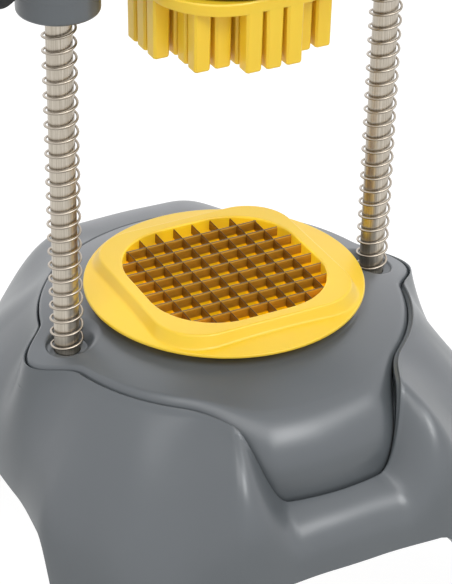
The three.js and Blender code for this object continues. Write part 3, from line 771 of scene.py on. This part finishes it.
def pocket_cutter(side):
    """The room of a rod's pocket: a cone up from a round floor, and a lip that bends out to the dome.

    The cone meets the dome at another radius in each direction, found by stepping towards it. The lip is
    a bend of three points: on the cone below the meeting, the meeting, and on the dome outside it.
    """
    x = side * ROD_X

    def outline(angle):
        rim = POCKET_FLOOR_RADIUS + 0 * angle
        for _ in range(12):
            rim = POCKET_FLOOR_RADIUS + POCKET_SLOPE * (dome_at(x, rim, angle) - POCKET_FLOOR)
        rim_height = dome_at(x, rim, angle)
        lip = np.minimum(POCKET_LIP, 0.55 * (rim_height - POCKET_FLOOR))
        outside = rim + lip
        t = np.linspace(0, 1, 8)[None, :]
        out = bend(t, rim - POCKET_SLOPE * lip, rim, outside)
        height = bend(t, rim_height - lip, rim_height, dome_at(x, outside, angle))
        return section(
            angle,
            (0, POCKET_FLOOR),
            (POCKET_FLOOR_RADIUS - 0.7, POCKET_FLOOR),
            (POCKET_FLOOR_RADIUS + 0.2, POCKET_FLOOR + 0.5),
            (out, height + 0.02),
            (outside + 1, BLADE_TOP),
            (0, BLADE_TOP),
        )

    return carried_round(outline, 72, (x, 0), start=0.021)


def rod_hole(x, radius, low, high):
    return turned(block(radius, low, high), [0] * 4, 48, (x, 0))


def make_deck():
    """The deck with its two pockets, their cups below and the bosses for its screws."""
    cups, rooms = [], []
    for side in (-1, 1):
        cups.append(pocket_cup(side))
        rooms.append(pocket_cutter(side))
        rooms.append(rod_hole(side * ROD_X, ROD_RADIUS + ROD_PLAY, CUP_BOTTOM - POCKET_OVERRUN,
                              POCKET_FLOOR + POCKET_OVERRUN))
    boss = block(DECK_BOSS_RADIUS, CUP_BOTTOM, dome_height(DECK_SCREW_RADIUS) - DECK_WALL / 2)
    bosses = [turned(boss, [0, 0.5, 0, 0], 32, place) for place in quarter_places(45, DECK_SCREW_RADIUS)]
    mesh = combined("deck", carried_round(deck_outline, 288), cups + bosses, rooms)
    put("deck", mesh, "grey_plastic", "root", ["deck_cover"])


def wall_radius(angle):
    """The shell's foot in plan: an oval where |x/a|**p + |y/b|**p is 1, flared out at the legs."""
    c = np.abs(np.cos(angle)) / WALL_HALF_WIDTH
    s = np.abs(np.sin(angle)) / WALL_HALF_DEPTH
    plan = (c ** WALL_POWER + s ** WALL_POWER) ** (-1 / WALL_POWER)
    return plan + LEG_FLARE * bump(leg_distance(angle), LEG_SPREAD)


def slack_share(angle):
    """How far the shoulder hangs down: fully at the legs and the sides, and not at the back and front."""
    beside = ease((SLACK_SIDE_ANGLE - nearest(angle, 0, 180)) / SLACK_SIDE_FADE)
    return 1 - (1 - bump(leg_distance(angle), SLACK_LEG_SPREAD)) * (1 - beside)


def wall_bottom(angle):
    return mix(ARCH_HEIGHT, SOLE_HEIGHT, ease((SOLE_ANGLE - leg_distance(angle)) / SOLE_FADE))


def shell_outline(angle):
    """The shell's section in a direction: ledge, inner wall, sole, outer wall, bead, seam and tongue.

    The outer wall is a bend of four points from the seam to the foot, and the inner wall lies
    one wall's thickness inside it along its normal. The bead is a low squared cosine along the
    seam, and the tongue under it closes the seam's gap to a shallow groove.
    """
    leg = bump(leg_distance(angle), LEG_SPREAD)
    slack = slack_share(angle)
    seam = chin_seam_share(angle)
    front = front_share(angle)
    inner = deck_edge(angle) + mix(mix(SEAM_BACK_GAP, SEAM_FRONT_GAP, front), SEAM_CHIN_GAP, seam)
    back = bump(nearest(angle, SEAM_BACK_ANGLE, 180 - SEAM_BACK_ANGLE), SEAM_BACK_SPREAD)
    top = BLADE_TOP - mix(SEAM_DROP, CHIN_SEAM_DROP, seam)
    top = top - SEAM_LOBE_DROP * lobe_share(angle) - SEAM_BACK_DROP * back
    ledge_top = skirt_bottom(angle, LEDGE_LEAD) - SLIT
    ledge_bottom = ledge_top - SHELL_WALL
    ledge_inner = inner - LEDGE_WIDTH + LEDGE_LOBE_CUT * lobe_share(angle)
    foot = wall_radius(angle)
    start = inner + SEAM_ROUND
    reach = (foot - start) * mix(*SHOULDER_REACH_SHARES, slack)
    bottom = wall_bottom(angle)
    px = [start, start + reach, foot - mix(*FOOT_LEAN, leg), foot]
    pz = [top, top - mix(*SHOULDER_DIP, slack), top - mix(*SHOULDER_FALL, slack), bottom]

    def curve(t):
        w = [(1 - t) ** 3, 3 * t * (1 - t) ** 2, 3 * t ** 2 * (1 - t), t ** 3]
        return sum(a * b for a, b in zip(w, px)), sum(a * b for a, b in zip(w, pz))

    def inside(t):
        w = [-3 * (1 - t) ** 2, 3 * (1 - t) * (1 - 3 * t), 3 * t * (2 - 3 * t), 3 * t ** 2]
        dx, dz = sum(a * b for a, b in zip(w, px)), sum(a * b for a, b in zip(w, pz))
        length = np.hypot(dx, dz)
        x, z = curve(t)
        return x + dz / length * SHELL_WALL, np.maximum(z - dx / length * SHELL_WALL, bottom)

    low, high = np.zeros_like(angle), np.ones_like(angle)
    for _ in range(16):
        middle = (low + high) / 2
        short = inside(middle)[0] < inner + SHELL_WALL
        low, high = np.where(short, middle, low), np.where(short, high, middle)
    t_in = mix(high, 1, np.linspace(0, 1, 16)[None, :])
    wall_x, wall_z = curve(np.linspace(1, 0, 56)[None, :] ** 1.5)
    bead = SEAM_BEAD * (1 - seam) * front
    lip = np.linspace(0, np.pi / 2, 6)[None, 1:]
    lip_x = start - SEAM_ROUND * np.sin(lip)
    lip_z = top - SEAM_ROUND * (1 - np.cos(lip))
    tongue = inner - mix(*TONGUE_GAP, front) * (1 - seam)
    tongue_low = np.maximum(top - TONGUE_DEPTH, ledge_top + TONGUE_STEP)
    tongue_high = np.maximum(top - mix(*TONGUE_TOP, front), tongue_low + TONGUE_STEP)
    return section(
        angle,
        (ledge_inner, ledge_bottom),
        (inner + SHELL_WALL, ledge_bottom),
        inside(t_in),
        (wall_x, wall_z + bead * bump(wall_x - start, BEAD_SPREAD)),
        (lip_x, lip_z + bead * bump(start - lip_x, BEAD_SPREAD)),
        (tongue, tongue_high),
        (tongue, tongue_low),
        (inner, tongue_low - 0.1),
        (inner, ledge_top),
        (ledge_inner, ledge_top),
    )


def quarter_ways(way):
    """Four directions in degrees at this angle from the x axis, one in each quarter."""
    return [way, 180 - way, 180 + way, 360 - way]


def quarter_places(way, radius):
    """A place at this radius in each of the four directions."""
    return [(radius * math.cos(a), radius * math.sin(a)) for a in np.radians(quarter_ways(way))]


def foot_places():
    return quarter_places(LEG_ANGLE, float(wall_radius(np.radians(LEG_ANGLE))) - FOOT_INSET)


def make_shell():
    """The base's shell with a boss in each leg for its foot."""
    boss = block(FOOT_BOSS_RADIUS, SOLE_HEIGHT, SOLE_HEIGHT + FOOT_BOSS_HEIGHT)
    bosses = [turned(boss, [0, 1, 1.5, 0], 48, place) for place in foot_places()]
    mesh = combined("shell", carried_round(shell_outline, 320), bosses)
    put("shell", mesh, "grey_plastic", "root", ["base_shell"])


# Shapes of the insert
def square_radius(half, corner, angle):
    """The radius of a rounded square in a direction: its flat sides, or its corner circles."""
    c = np.maximum(np.abs(np.cos(angle)), np.abs(np.sin(angle)))
    s = np.minimum(np.abs(np.cos(angle)), np.abs(np.sin(angle)))
    straight = half - corner
    in_corner = straight * (c + s) + np.sqrt(np.maximum(corner ** 2 - (straight * (c - s)) ** 2, 0))
    return np.where(half * s / c <= straight, half / c, in_corner)


def ring_corners(angle):
    """The ring's section: opening, spigot, seat, coned flange, steep slope and flat collar.

    The flange rises inwards from its edge up to the foot of the slope.
    """
    opening = square_radius(OPENING_HALF, OPENING_CORNER, angle)
    crest = square_radius(COLLAR_HALF, COLLAR_CORNER, angle)
    foot = square_radius(COLLAR_FOOT_HALF, COLLAR_FOOT_CORNER, angle)
    return in_each(
        angle,
        (opening, SPIGOT_BOTTOM),
        (SPIGOT_RADIUS, SPIGOT_BOTTOM),
        (SPIGOT_RADIUS, RING_SEAT),
        (SEAT_RIM, RING_SEAT),
        (SEAT_RIM + 1, FLANGE_UNDER),
        (FLANGE_RADIUS, FLANGE_UNDER),
        (FLANGE_RADIUS, FLANGE_TOP),
        (foot, FLANGE_TOP + (FLANGE_RADIUS - foot) * FLANGE_RISE_SHARE),
        (crest, RIM_TOP),
        (opening, RIM_TOP),
    )


def make_ring():
    reaches = [0.4, 1, 0.3, 0.5, 0.7, 0.5, 0.8, 1.2, 0.9, 1.2]
    shape = carried_bent(ring_corners, reaches, 360)
    put("ring", shape, "yellow_plastic", "blade_insert", ["insert_ring"])


# Shapes of the head
def yoke_plan():
    """The yoke's plan: half rounds at its bosses, straight sides and a disc in the middle.

    One quarter is made of two arcs and a line in the complex plane, mirrored twice, set out in even
    steps and eased by averaging neighbours.
    """
    boss_turn = np.linspace(0, np.pi - math.asin(YOKE_BEAM / BOSS_RADIUS), 40)
    disc_turn = np.linspace(math.asin(YOKE_BEAM / YOKE_DISC), np.pi / 2, 40)
    boss = ROD_X + BOSS_RADIUS * np.exp(1j * boss_turn)
    middle = YOKE_DISC * np.exp(1j * disc_turn)
    side = mix(boss[-1], middle[0], np.linspace(0, 1, 20)[1:-1])
    quarter = np.concatenate([boss, side, middle])
    half = np.concatenate([quarter, -np.conj(quarter[-2::-1])])
    whole = np.concatenate([half, np.conj(half[-2:0:-1])])
    closed = np.append(whole, whole[0])
    run = np.concatenate([[0], np.cumsum(np.abs(np.diff(closed)))])
    even = np.linspace(0, run[-1], 360, endpoint=False)
    path = np.interp(even, run, closed.real) + 1j * np.interp(even, run, closed.imag)
    for _ in range(4):
        path = (np.roll(path, 1) + 2 * path + np.roll(path, -1)) / 4
    return np.stack([path.real, path.imag], -1)


def quarter_round(radius, inward, low, steps=7):
    """A quarter bend of [inset, height] points that ends an upright edge, at its foot or its top."""
    turn = np.linspace(0, np.pi / 2, steps)
    rise = radius * (1 - np.cos(turn))
    inset = radius * (1 - np.sin(turn))
    return np.stack([inset, low + rise if inward else low - rise], -1)


def lying(shape, side, height):
    """A piece turned about the upright axis, laid down along x to the left or right."""
    points, faces = shape
    laid = np.stack([side * points[:, 2], points[:, 1], height - side * points[:, 0]], -1)
    return laid, faces


def make_yoke():
    """The yoke: its plan carried up with rounded edges, bosses, stubs, recess and bores."""
    low = quarter_round(YOKE_LOW_ROUND, True, YOKE_BOTTOM)
    high = quarter_round(YOKE_TOP_ROUND, False, YOKE_TOP)[::-1]
    body = carried_along(yoke_plan(), np.concatenate([low, high]))
    joined, removed = [], []
    boss = block(BOSS_RADIUS - BOSS_STEP, BOSS_BOTTOM, BOSS_TOP)
    stub = block(STUB_RADIUS, ROD_X, GRIP_END - GRIP_CAP - SLIT)
    recess = block(RECESS_RADIUS, YOKE_TOP - RECESS_DEPTH, YOKE_TOP + OVERRUN)
    for side in (-1, 1):
        joined.append(turned(boss, [0, 2, 3, 0], 96, (side * ROD_X, 0)))
        joined.append(lying(turned(stub, [0, 0, 1, 0], 48), side, YOKE_MIDDLE))
        removed.append(rod_hole(side * ROD_X, BUSH_RADIUS + SLIT, BOSS_BOTTOM - OVERRUN, BOSS_TOP + OVERRUN))
    removed.append(turned(recess, [0, 1.5, 0, 0], 128))
    mesh = combined("yoke_body", body, joined, removed)
    put("yoke_body", mesh, "grey_plastic", "press_head", ["yoke"])


def make_cover():
    """The cover on the yoke: its crown falls with the cube of the radius."""
    reach = np.linspace(0, 1, 24)
    edge = YOKE_DISC - COVER_ROUND
    crown = COVER_CROWN * (1 - reach ** 3)
    rim = np.linspace(0, np.pi / 2, 8)
    inner = RECESS_RADIUS - SLIT - COVER_WALL
    outer = inner + COVER_WALL
    low = COVER_LOW - COVER_SPIGOT
    radius = np.concatenate([
        [inner, outer - COVER_BEVEL, outer, outer, YOKE_DISC - COVER_BEVEL],
        edge + COVER_ROUND * np.cos(rim), (edge * reach)[::-1], reach * (inner - 1), [inner]])
    height = np.concatenate([
        [low, low, low + COVER_BEVEL, COVER_LOW, COVER_LOW],
        COVER_EDGE - COVER_ROUND + COVER_ROUND * np.sin(rim), (COVER_EDGE + crown)[::-1],
        COVER_EDGE - COVER_WALL + crown, [COVER_LOW - 1]])
    shape = carried_round(lambda angle: (radius[None], height[None]), 160)
    put("cover", shape, "grey_plastic", "press_head", ["yoke_cover"])


def make_pusher():
    """The pusher's plate and one tapered finger with rounded edges for each whole cell."""
    shapes = [carried_round(plate_outline, 240)]
    reach = np.arange(-FINGERS_EACH_WAY, FINGERS_EACH_WAY + 1) * CELL
    for x in reach:
        for y in reach:
            outer = np.abs([x, y]) + FINGER_HALF
            wall = square_radius(OPENING_HALF, OPENING_CORNER, np.arctan2(outer[1], outer[0]))
            if np.hypot(*outer) <= wall - FINGER_GAP:
                shapes.append(carried_round(finger_outline, 24, (x, y), np.pi / 24))
    points = np.concatenate([shape[0] for shape in shapes])
    starts = np.cumsum([0] + [len(shape[0]) for shape in shapes])
    faces = np.concatenate([shape[1] + start for shape, start in zip(shapes, starts)])
    put("plunger", (points, faces), "yellow_plastic", "press_head", ["pusher"])


def plate_outline(angle):
    """The plate's section: its lower edge is rounded in two steps, its upper edge is bevelled."""
    edge = square_radius(OPENING_HALF, OPENING_CORNER, angle) - PLATE_GAP
    return section(angle, (0, PLATE_BOTTOM), (edge - 1.2, PLATE_BOTTOM), (edge - 0.35, PLATE_BOTTOM + 0.35),
                   (edge, PLATE_BOTTOM + 1.2), (edge, PLATE_TOP - 0.6), (edge - 0.6, PLATE_TOP),
                   (0, PLATE_TOP))


def finger_outline(angle):
    """A finger's section: it widens from its rounded tip to its root in the plate."""
    tip = square_radius(FINGER_HALF - FINGER_TAPER, FINGER_CORNER, angle)
    root = square_radius(FINGER_HALF, FINGER_CORNER, angle)
    inset = np.array([[1, 0.5, 0.15, 0]])
    rise = np.array([[0, 0.12, 0.45, 1]])
    return section(angle, (0, FINGER_TIP), (tip - inset, FINGER_TIP + rise), (root, PLATE_BOTTOM + 1),
                   (0, PLATE_BOTTOM + 1))


def make_bush(name, x):
    flange = BUSH_BOTTOM + BUSH_FLANGE_HEIGHT
    bore = ROD_RADIUS + SLIT
    corners = [[bore, BUSH_BOTTOM], [BUSH_FLANGE, BUSH_BOTTOM], [BUSH_FLANGE, flange], [BUSH_RADIUS, flange],
               [BUSH_RADIUS, BOSS_TOP], [bore, BOSS_TOP]]
    shape = turned(corners, [0.5, 0.6, 0.4, 0, 0.4, 0.6], 64, (x, 0))
    put("sleeve_" + name, shape, "white_polymer", "press_head", ["guide_bush_" + name])


def make_grip(name, side):
    """A rubber grip: a shoulder, a belt of shallow grooves and a rounded end."""
    share = np.linspace(0, 1, 150)
    shoulder = GRIP_START + GRIP_SHOULDER
    last = GRIP_END - GRIP_ROUND
    groove = ease(share / 0.06) * ease((1 - share) / 0.06)
    wave = 0.5 - 0.5 * np.cos(2 * np.pi * GRIP_GROOVES * share)
    rise = np.linspace(0, 1, 10)[1:-1]
    turn = np.linspace(0, np.pi / 2, 10)[1:]
    bore = STUB_RADIUS + SLIT
    neck = GRIP_START + GRIP_BEVEL
    end = GRIP_END - GRIP_CAP
    radius = np.concatenate([
        [bore, GRIP_NECK - GRIP_BEVEL, GRIP_NECK], mix(GRIP_NECK, GRIP_RADIUS, ease(rise)),
        GRIP_RADIUS - GRIP_GROOVE_DEPTH * groove * wave ** 6,
        GRIP_RADIUS - GRIP_ROUND + GRIP_ROUND * np.cos(turn), [0, 0, bore]])
    length = np.concatenate([
        [GRIP_START, GRIP_START, neck], mix(neck, shoulder, rise), mix(shoulder, last, share),
        last + GRIP_ROUND * np.sin(turn), [GRIP_END, end, end]])
    upright = carried_round(lambda angle: (radius[None], length[None]), 96)
    put("handle_" + name, lying(upright, side, YOKE_MIDDLE), "dark_rubber", "press_head", ["grip_" + name])


# Rods, springs and fixings
def make_rod(name, x):
    corners = [[0, ROD_BOTTOM], [ROD_TAIL_RADIUS, ROD_BOTTOM], [ROD_TAIL_RADIUS, CUP_BOTTOM],
               [ROD_RADIUS, CUP_BOTTOM], [ROD_RADIUS, ROD_TOP], [0, ROD_TOP]]
    shape = turned(corners, [0, 1, 0, 0.4, 1.2, 0], 64, (x, 0))
    put("bar_" + name, shape, "rod_steel", "root", ["rod_" + name])


def spring_shape(x):
    """A wire wound round a rod, as a tube along a helix with closed ends.

    At turn u the wire's middle is at (radius * cos, radius * sin) of u turns, and its height is the
    running sum of a climbing rate, which is a sixth at each end and eased to its full value over
    SPRING_END_TURN of a turn.
    """
    curl_steps, sides = 28, 10
    turns = np.linspace(0, SPRING_TURNS, int(SPRING_TURNS * curl_steps) + 1)
    rate = ease(turns / SPRING_END_TURN) * ease((SPRING_TURNS - turns) / SPRING_END_TURN) + 0.2
    climb = np.concatenate([[0], np.cumsum((rate[1:] + rate[:-1]) / 2)])
    wire = SPRING_WIRE / 2
    low, high = SPRING_LOW + wire, SPRING_HIGH - wire
    height = low + (high - low) * climb / climb[-1]
    angle = 2 * np.pi * turns
    middle = np.stack([SPRING_RADIUS * np.cos(angle), SPRING_RADIUS * np.sin(angle), height], -1)
    ahead = np.gradient(middle, axis=0)
    ahead /= np.linalg.norm(ahead, axis=1, keepdims=True)
    radial = np.stack([np.cos(angle), np.sin(angle), 0 * angle], -1)
    across = np.cross(ahead, radial)
    turn = np.linspace(0, 2 * np.pi, sides, endpoint=False)[None, :, None]
    points = middle[:, None] + wire * (np.cos(turn) * radial[:, None] + np.sin(turn) * across[:, None])
    points = points + np.array([x, 0, 0])
    count = len(turns)
    faces = grid_faces(count, sides).reshape(count, sides, 4)[:-1].reshape(-1, 4)[:, ::-1].tolist()
    faces.append(list(range(sides)))
    faces.append([(count - 1) * sides + k for k in range(sides)][::-1])
    return points.reshape(-1, 3), faces


def make_spring(name, x):
    piece = put("coil_" + name, spring_shape(x), "spring_steel", "root", ["spring_" + name], sharp=60)
    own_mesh(piece)


def wedge(across, side, lengthwise):
    """A long three-cornered bar over one side of a blade's top edge, which slopes in by 0.29 mm in one."""
    corners = np.array([[0.002, 0.2], [0.408, -1.2], [1.5, 0.2]]) * [side, 1] + [across, BLADE_TOP]
    points = np.concatenate([np.insert(corners, 0, end, axis=1) for end in (-WEDGE_REACH, WEDGE_REACH)])
    faces = [[0, 1, 2], [5, 4, 3], [0, 3, 4, 1], [1, 4, 5, 2], [2, 5, 3, 0]]
    if not lengthwise:
        points = points[:, [1, 0, 2]]
    if (side > 0) == lengthwise:
        faces = [face[::-1] for face in faces]
    return points, faces


def make_blade(kind, number):
    """A blade as the model has it, with its top edge ground to a V by a wedge cut from each side."""
    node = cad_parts[f"{kind}_blade_{number}"]
    points = np.array([node.matrix_world @ corner.co for corner in node.data.vertices]) / MM
    faces = [list(face.vertices) for face in node.data.polygons]
    lengthwise = kind == "lengthwise"
    column = 1 if lengthwise else 0
    across = (points[:, column].min() + points[:, column].max()) / 2
    cutters = [wedge(across, side, lengthwise) for side in (-1, 1)]
    mesh = combined(f"{kind}_edge_{number}", (points, faces), (), cutters)
    put(f"cutter_{kind}_{number}", mesh, kind + "_steel", "blade_insert", [f"{kind}_blade_{number}"],
        12)


def make_frame():
    """The frame plate: a ring with an eye round each rod's tail, and its screw holes."""
    def outline(angle):
        way = nearest(angle, 0, 180)
        sine = ROD_X * np.sin(np.radians(np.minimum(way, FRAME_EYE_SPREAD)))
        eye = np.sqrt(ROD_X ** 2 - sine ** 2) + np.sqrt(np.maximum(FRAME_EYE ** 2 - sine ** 2, 0))
        outer = np.maximum(FRAME_OUTER, np.where(way < FRAME_EYE_SPREAD, eye, 0))
        inset = np.array([[FRAME_ROUND, 0.23, 0]])
        edge = FRAME_INNER + FRAME_BEVEL
        return section(angle, (FRAME_INNER, FRAME_BOTTOM + FRAME_BEVEL), (edge, FRAME_BOTTOM),
                       (outer - inset, FRAME_BOTTOM + FRAME_ROUND - inset[:, ::-1]),
                       (outer - inset[:, ::-1], FRAME_TOP - FRAME_ROUND + inset),
                       (edge, FRAME_TOP), (FRAME_INNER, FRAME_TOP - FRAME_BEVEL))

    low, high = FRAME_BOTTOM - OVERRUN, FRAME_TOP + OVERRUN
    holes = [rod_hole(side * ROD_X, ROD_TAIL_RADIUS + SLIT, low, high) for side in (-1, 1)]
    places = quarter_places(45, DECK_SCREW_RADIUS) + quarter_places(FRAME_SCREW_ANGLE, FRAME_SCREW_RADIUS)
    holes += [turned(block(SCREW_SHANK + SLIT, low, high), [0] * 4, 24, place) for place in places]
    mesh = combined("frame_plate", carried_round(outline, 240), (), holes)
    put("frame_plate", mesh, "cast_metal", "root", ["support_frame"])


def make_washer(name, x):
    corners = block(WASHER_RADIUS, WASHER_BOTTOM, WASHER_TOP, ROD_TAIL_RADIUS + SLIT)
    shape = turned(corners, [0.2, 0.3, 0.4, 0.2], 64, (x, 0))
    put("washer_" + name, shape, "zinc_steel", "root", ["rod_washer_" + name])


def make_nut(name, x):
    """A hexagon nut: its corners are cut back by a cone of 30 degrees at both ends."""
    def outline(angle):
        bore = ROD_TAIL_RADIUS + SLIT
        flat = NUT_RADIUS * math.cos(math.pi / 6)
        side = flat / np.cos(np.mod(angle, np.pi / 3) - np.pi / 6)
        drop = 0.15 + 0.58 * np.maximum(side - flat, 0)
        face = flat - 0.3
        return section(angle, (bore, NUT_BOTTOM), (face, NUT_BOTTOM), (side, NUT_BOTTOM + drop),
                       (side, NUT_TOP - drop), (face, NUT_TOP), (bore, NUT_TOP))

    put("nut_" + name, carried_round(outline, 96, (x, 0)), "zinc_steel", "root", ["rod_nut_" + name])


def make_cap(name, x):
    bore = ROD_RADIUS + SLIT
    low = BOSS_TOP + SLIT
    room = ROD_TOP + SLIT
    corners = [[bore, low], [CAP_RADIUS, low], [CAP_RADIUS, CAP_TOP], [0, CAP_TOP], [0, room], [bore, room]]
    shape = turned(corners, [0.3, 0.6, 2.6, 0, 0, 0.3], 72, (x, 0))
    put("cap_" + name, shape, "grey_plastic", "root", ["rod_cap_" + name])


def screw_outline(length):
    """A pan-head screw that stands on its tip: its shank, its domed head and a cross recess.

    The recess is a cross whose arms have a half width of 0.15 of the head's radius.
    """
    def outline(angle):
        fold = np.mod(angle + np.pi / 4, np.pi / 2) - np.pi / 4
        arm = np.minimum(0.15 * SCREW_HEAD / np.maximum(np.abs(np.sin(fold)), 1e-3), 0.55 * SCREW_HEAD)
        top = length + SCREW_HEAD_HEIGHT
        dome = np.linspace(0, 1, 7)[None, :]
        crown = mix(SCREW_HEAD, arm, dome)
        return section(angle, (0, 0), (SCREW_SHANK - 0.9, 0), (SCREW_SHANK, 1.6), (SCREW_SHANK, length),
                       (SCREW_HEAD - 0.2, length), (crown, top - 1.5 * (1 - dome) ** 2.4),
                       (arm * 0.45, top - 1.5), (0, top - 1.7))
    return outline


def make_screw(name, seat, tip, place, body, replaced):
    """A screw from its seat down to its tip, or upside down where the tip is above the seat."""
    points, faces = carried_round(screw_outline(abs(seat - tip)), 64, place)
    if seat > tip:
        points = points + np.array([0, 0, tip])
    else:
        points = points * np.array([1, 1, -1]) + np.array([0, 0, tip])
        faces = faces[:, ::-1]
    put(name, (points, faces), "zinc_steel", body, [replaced])


def make_foot(name, place, replaced):
    """A rubber foot: a dished sole with a bevelled rim, below a waist and a flange."""
    corners = [[SCREW_SHANK + SLIT, FOOT_DISH_DEPTH], [FOOT_DISH, FOOT_DISH_DEPTH], [FOOT_DISH + 0.4, 0],
               [FOOT_RADIUS, 0], [FOOT_RADIUS, 3.4], [FOOT_RADIUS - 1.2, 4], [FOOT_RADIUS - 1.2, 7],
               [FOOT_RADIUS, 7.6], [FOOT_RADIUS, FOOT_TOP], [SCREW_SHANK + SLIT, FOOT_TOP]]
    shape = turned(corners, [0, 0.8, 0.8, 1.6, 0.6, 0.5, 0.5, 0.6, 0.6, 0], 72, place)
    put(name, shape, "dark_rubber", "root", [replaced])


def make_screws():
    """All the screws: in the feet, frame, deck and pusher."""
    rows = [
        ("foot", foot_places(), FOOT_DISH_DEPTH - SLIT, FOOT_DISH_DEPTH + FOOT_SCREW_LENGTH, "root"),
        ("frame", quarter_places(FRAME_SCREW_ANGLE, FRAME_SCREW_RADIUS), FRAME_TOP + SLIT,
         FRAME_BOTTOM - SLIT - SHELL_WALL, "root"),
        ("deck", quarter_places(45, DECK_SCREW_RADIUS), FRAME_BOTTOM - SLIT, CUP_BOTTOM + SCREW_COVER - SLIT,
         "root"),
        ("pusher", quarter_places(45, PUSHER_SCREW_RADIUS), YOKE_TOP - RECESS_DEPTH + SLIT,
         PLATE_BOTTOM + SCREW_COVER + SLIT, "press_head"),
    ]
    for kind, places, seat, tip, body in rows:
        for number, place in enumerate(places, 1):
            make_screw(f"{kind}_bolt_{number}", seat, tip, place, body, f"{kind}_screw_{number}")


for number, place in enumerate(foot_places(), 1):
    make_foot(f"foot_{number}", place, f"rubber_foot_{number}")
make_screws()
make_frame()
make_yoke()
make_cover()
make_pusher()
for side_name, side in (("left", -1), ("right", 1)):
    for make in (make_rod, make_spring, make_washer, make_nut, make_cap, make_bush):
        make(side_name, side * ROD_X)
    make_grip(side_name, side)
make_deck()
make_shell()
make_ring()
for number in range(1, BLADES_EACH_WAY + 1):
    for kind in ("lengthwise", "crosswise"):
        make_blade(kind, number)


# Floor, light and camera
def make_floor():
    """A wide pale floor that keeps the object's shadow and reads as white elsewhere."""
    finish = Finish("floor", {"Base Color": (0.9, 0.9, 0.9, 1), "Roughness": 0.9, "Specular IOR Level": 0.1})
    path = finish.node("ShaderNodeLightPath", out="Is Camera Ray")
    glossy = finish.node("ShaderNodeLightPath", out="Is Glossy Ray")
    seen = (path + glossy) * 0.8
    glow = finish.node("ShaderNodeEmission", {}, {"Color": (1, 1, 1, 1), "Strength": 1.2})
    lit = Flow(finish, finish.shader.outputs[0])
    both = finish.node("ShaderNodeMixShader", {}, {0: seen, 1: lit, 2: glow})
    finish.feed(finish.output.inputs["Surface"], both)
    half = 6000
    points = np.array([[-half, -half, 0], [half, -half, 0], [half, half, 0], [-half, half, 0]])
    mesh = make_mesh("floor", points, [[0, 1, 2, 3]])
    mesh.materials.append(finish.material)
    floor = new_object("floor", mesh)


def make_world():
    """White where the camera looks, bright in reflections, and soft in all other light."""
    world = bpy.data.worlds.new("studio")
    world.use_nodes = True
    tree = world.node_tree
    tree.nodes.clear()
    path = tree.nodes.new("ShaderNodeLightPath")
    output = tree.nodes.new("ShaderNodeOutputWorld")

    def background(colour, strength):
        made = tree.nodes.new("ShaderNodeBackground")
        made.inputs["Color"].default_value = colour
        made.inputs["Strength"].default_value = strength
        return made.outputs[0]

    def chosen(ray, others, own):
        made = tree.nodes.new("ShaderNodeMixShader")
        for number, value in enumerate((path.outputs[ray], others, own)):
            tree.links.new(value, made.inputs[number])
        return made.outputs[0]

    mirrored = chosen("Is Glossy Ray", background((1, 1, 1, 1), 0.5), background((0.98, 0.97, 1, 1), 1.8))
    seen = chosen("Is Camera Ray", mirrored, background((1, 1, 1, 1), 1))
    tree.links.new(seen, output.inputs["Surface"])
    bpy.context.scene.world = world


def make_lamp(name, place, size, watts, height=None):
    """A soft box at a place in metres, aimed at the ring, square where no height is given."""
    light = bpy.data.lights.new(name, "AREA")
    light.shape = "RECTANGLE"
    light.size = size
    light.size_y = height or size
    light.energy = watts
    lamp = new_object(name, light)
    lamp.location = place
    aim = Vector((0, 0, 0.16)) - Vector(place)
    lamp.rotation_euler = aim.to_track_quat("-Z", "Y").to_euler()
    return lamp


def make_camera():
    """The camera that was worked out from the crossings of the blades."""
    camera = bpy.data.cameras.new("camera")
    camera.lens = 136.4
    camera.sensor_width = 36
    camera.clip_start = 0.05
    camera.clip_end = 50
    eye = new_object("camera", camera)
    down, round_left, tilt = 31.7568, 27.8559, 1.0330
    turn = (Matrix.Rotation(math.radians(-round_left), 4, "Z")
            @ Matrix.Rotation(math.radians(90 - down), 4, "X")
            @ Matrix.Rotation(math.radians(tilt), 4, "Z"))
    eye.matrix_world = Matrix.Translation((-0.425046, -0.806461, 0.716213)) @ turn
    bpy.context.scene.camera = eye


make_floor()
make_world()
make_lamp("key", (0.25, -1.2, 1.6), 0.7, 10)
make_lamp("left", (-0.62, -0.62, 1.8), 1.0, 9)
make_lamp("back", (0.2, 0.9, 1.7), 0.7, 6).visible_glossy = False
make_lamp("sheen", (0.7, -1.15, 1.7), 2.4, 16, 0.5).visible_diffuse = False
make_camera()

scene = bpy.context.scene
scene.view_settings.view_transform = "Standard"
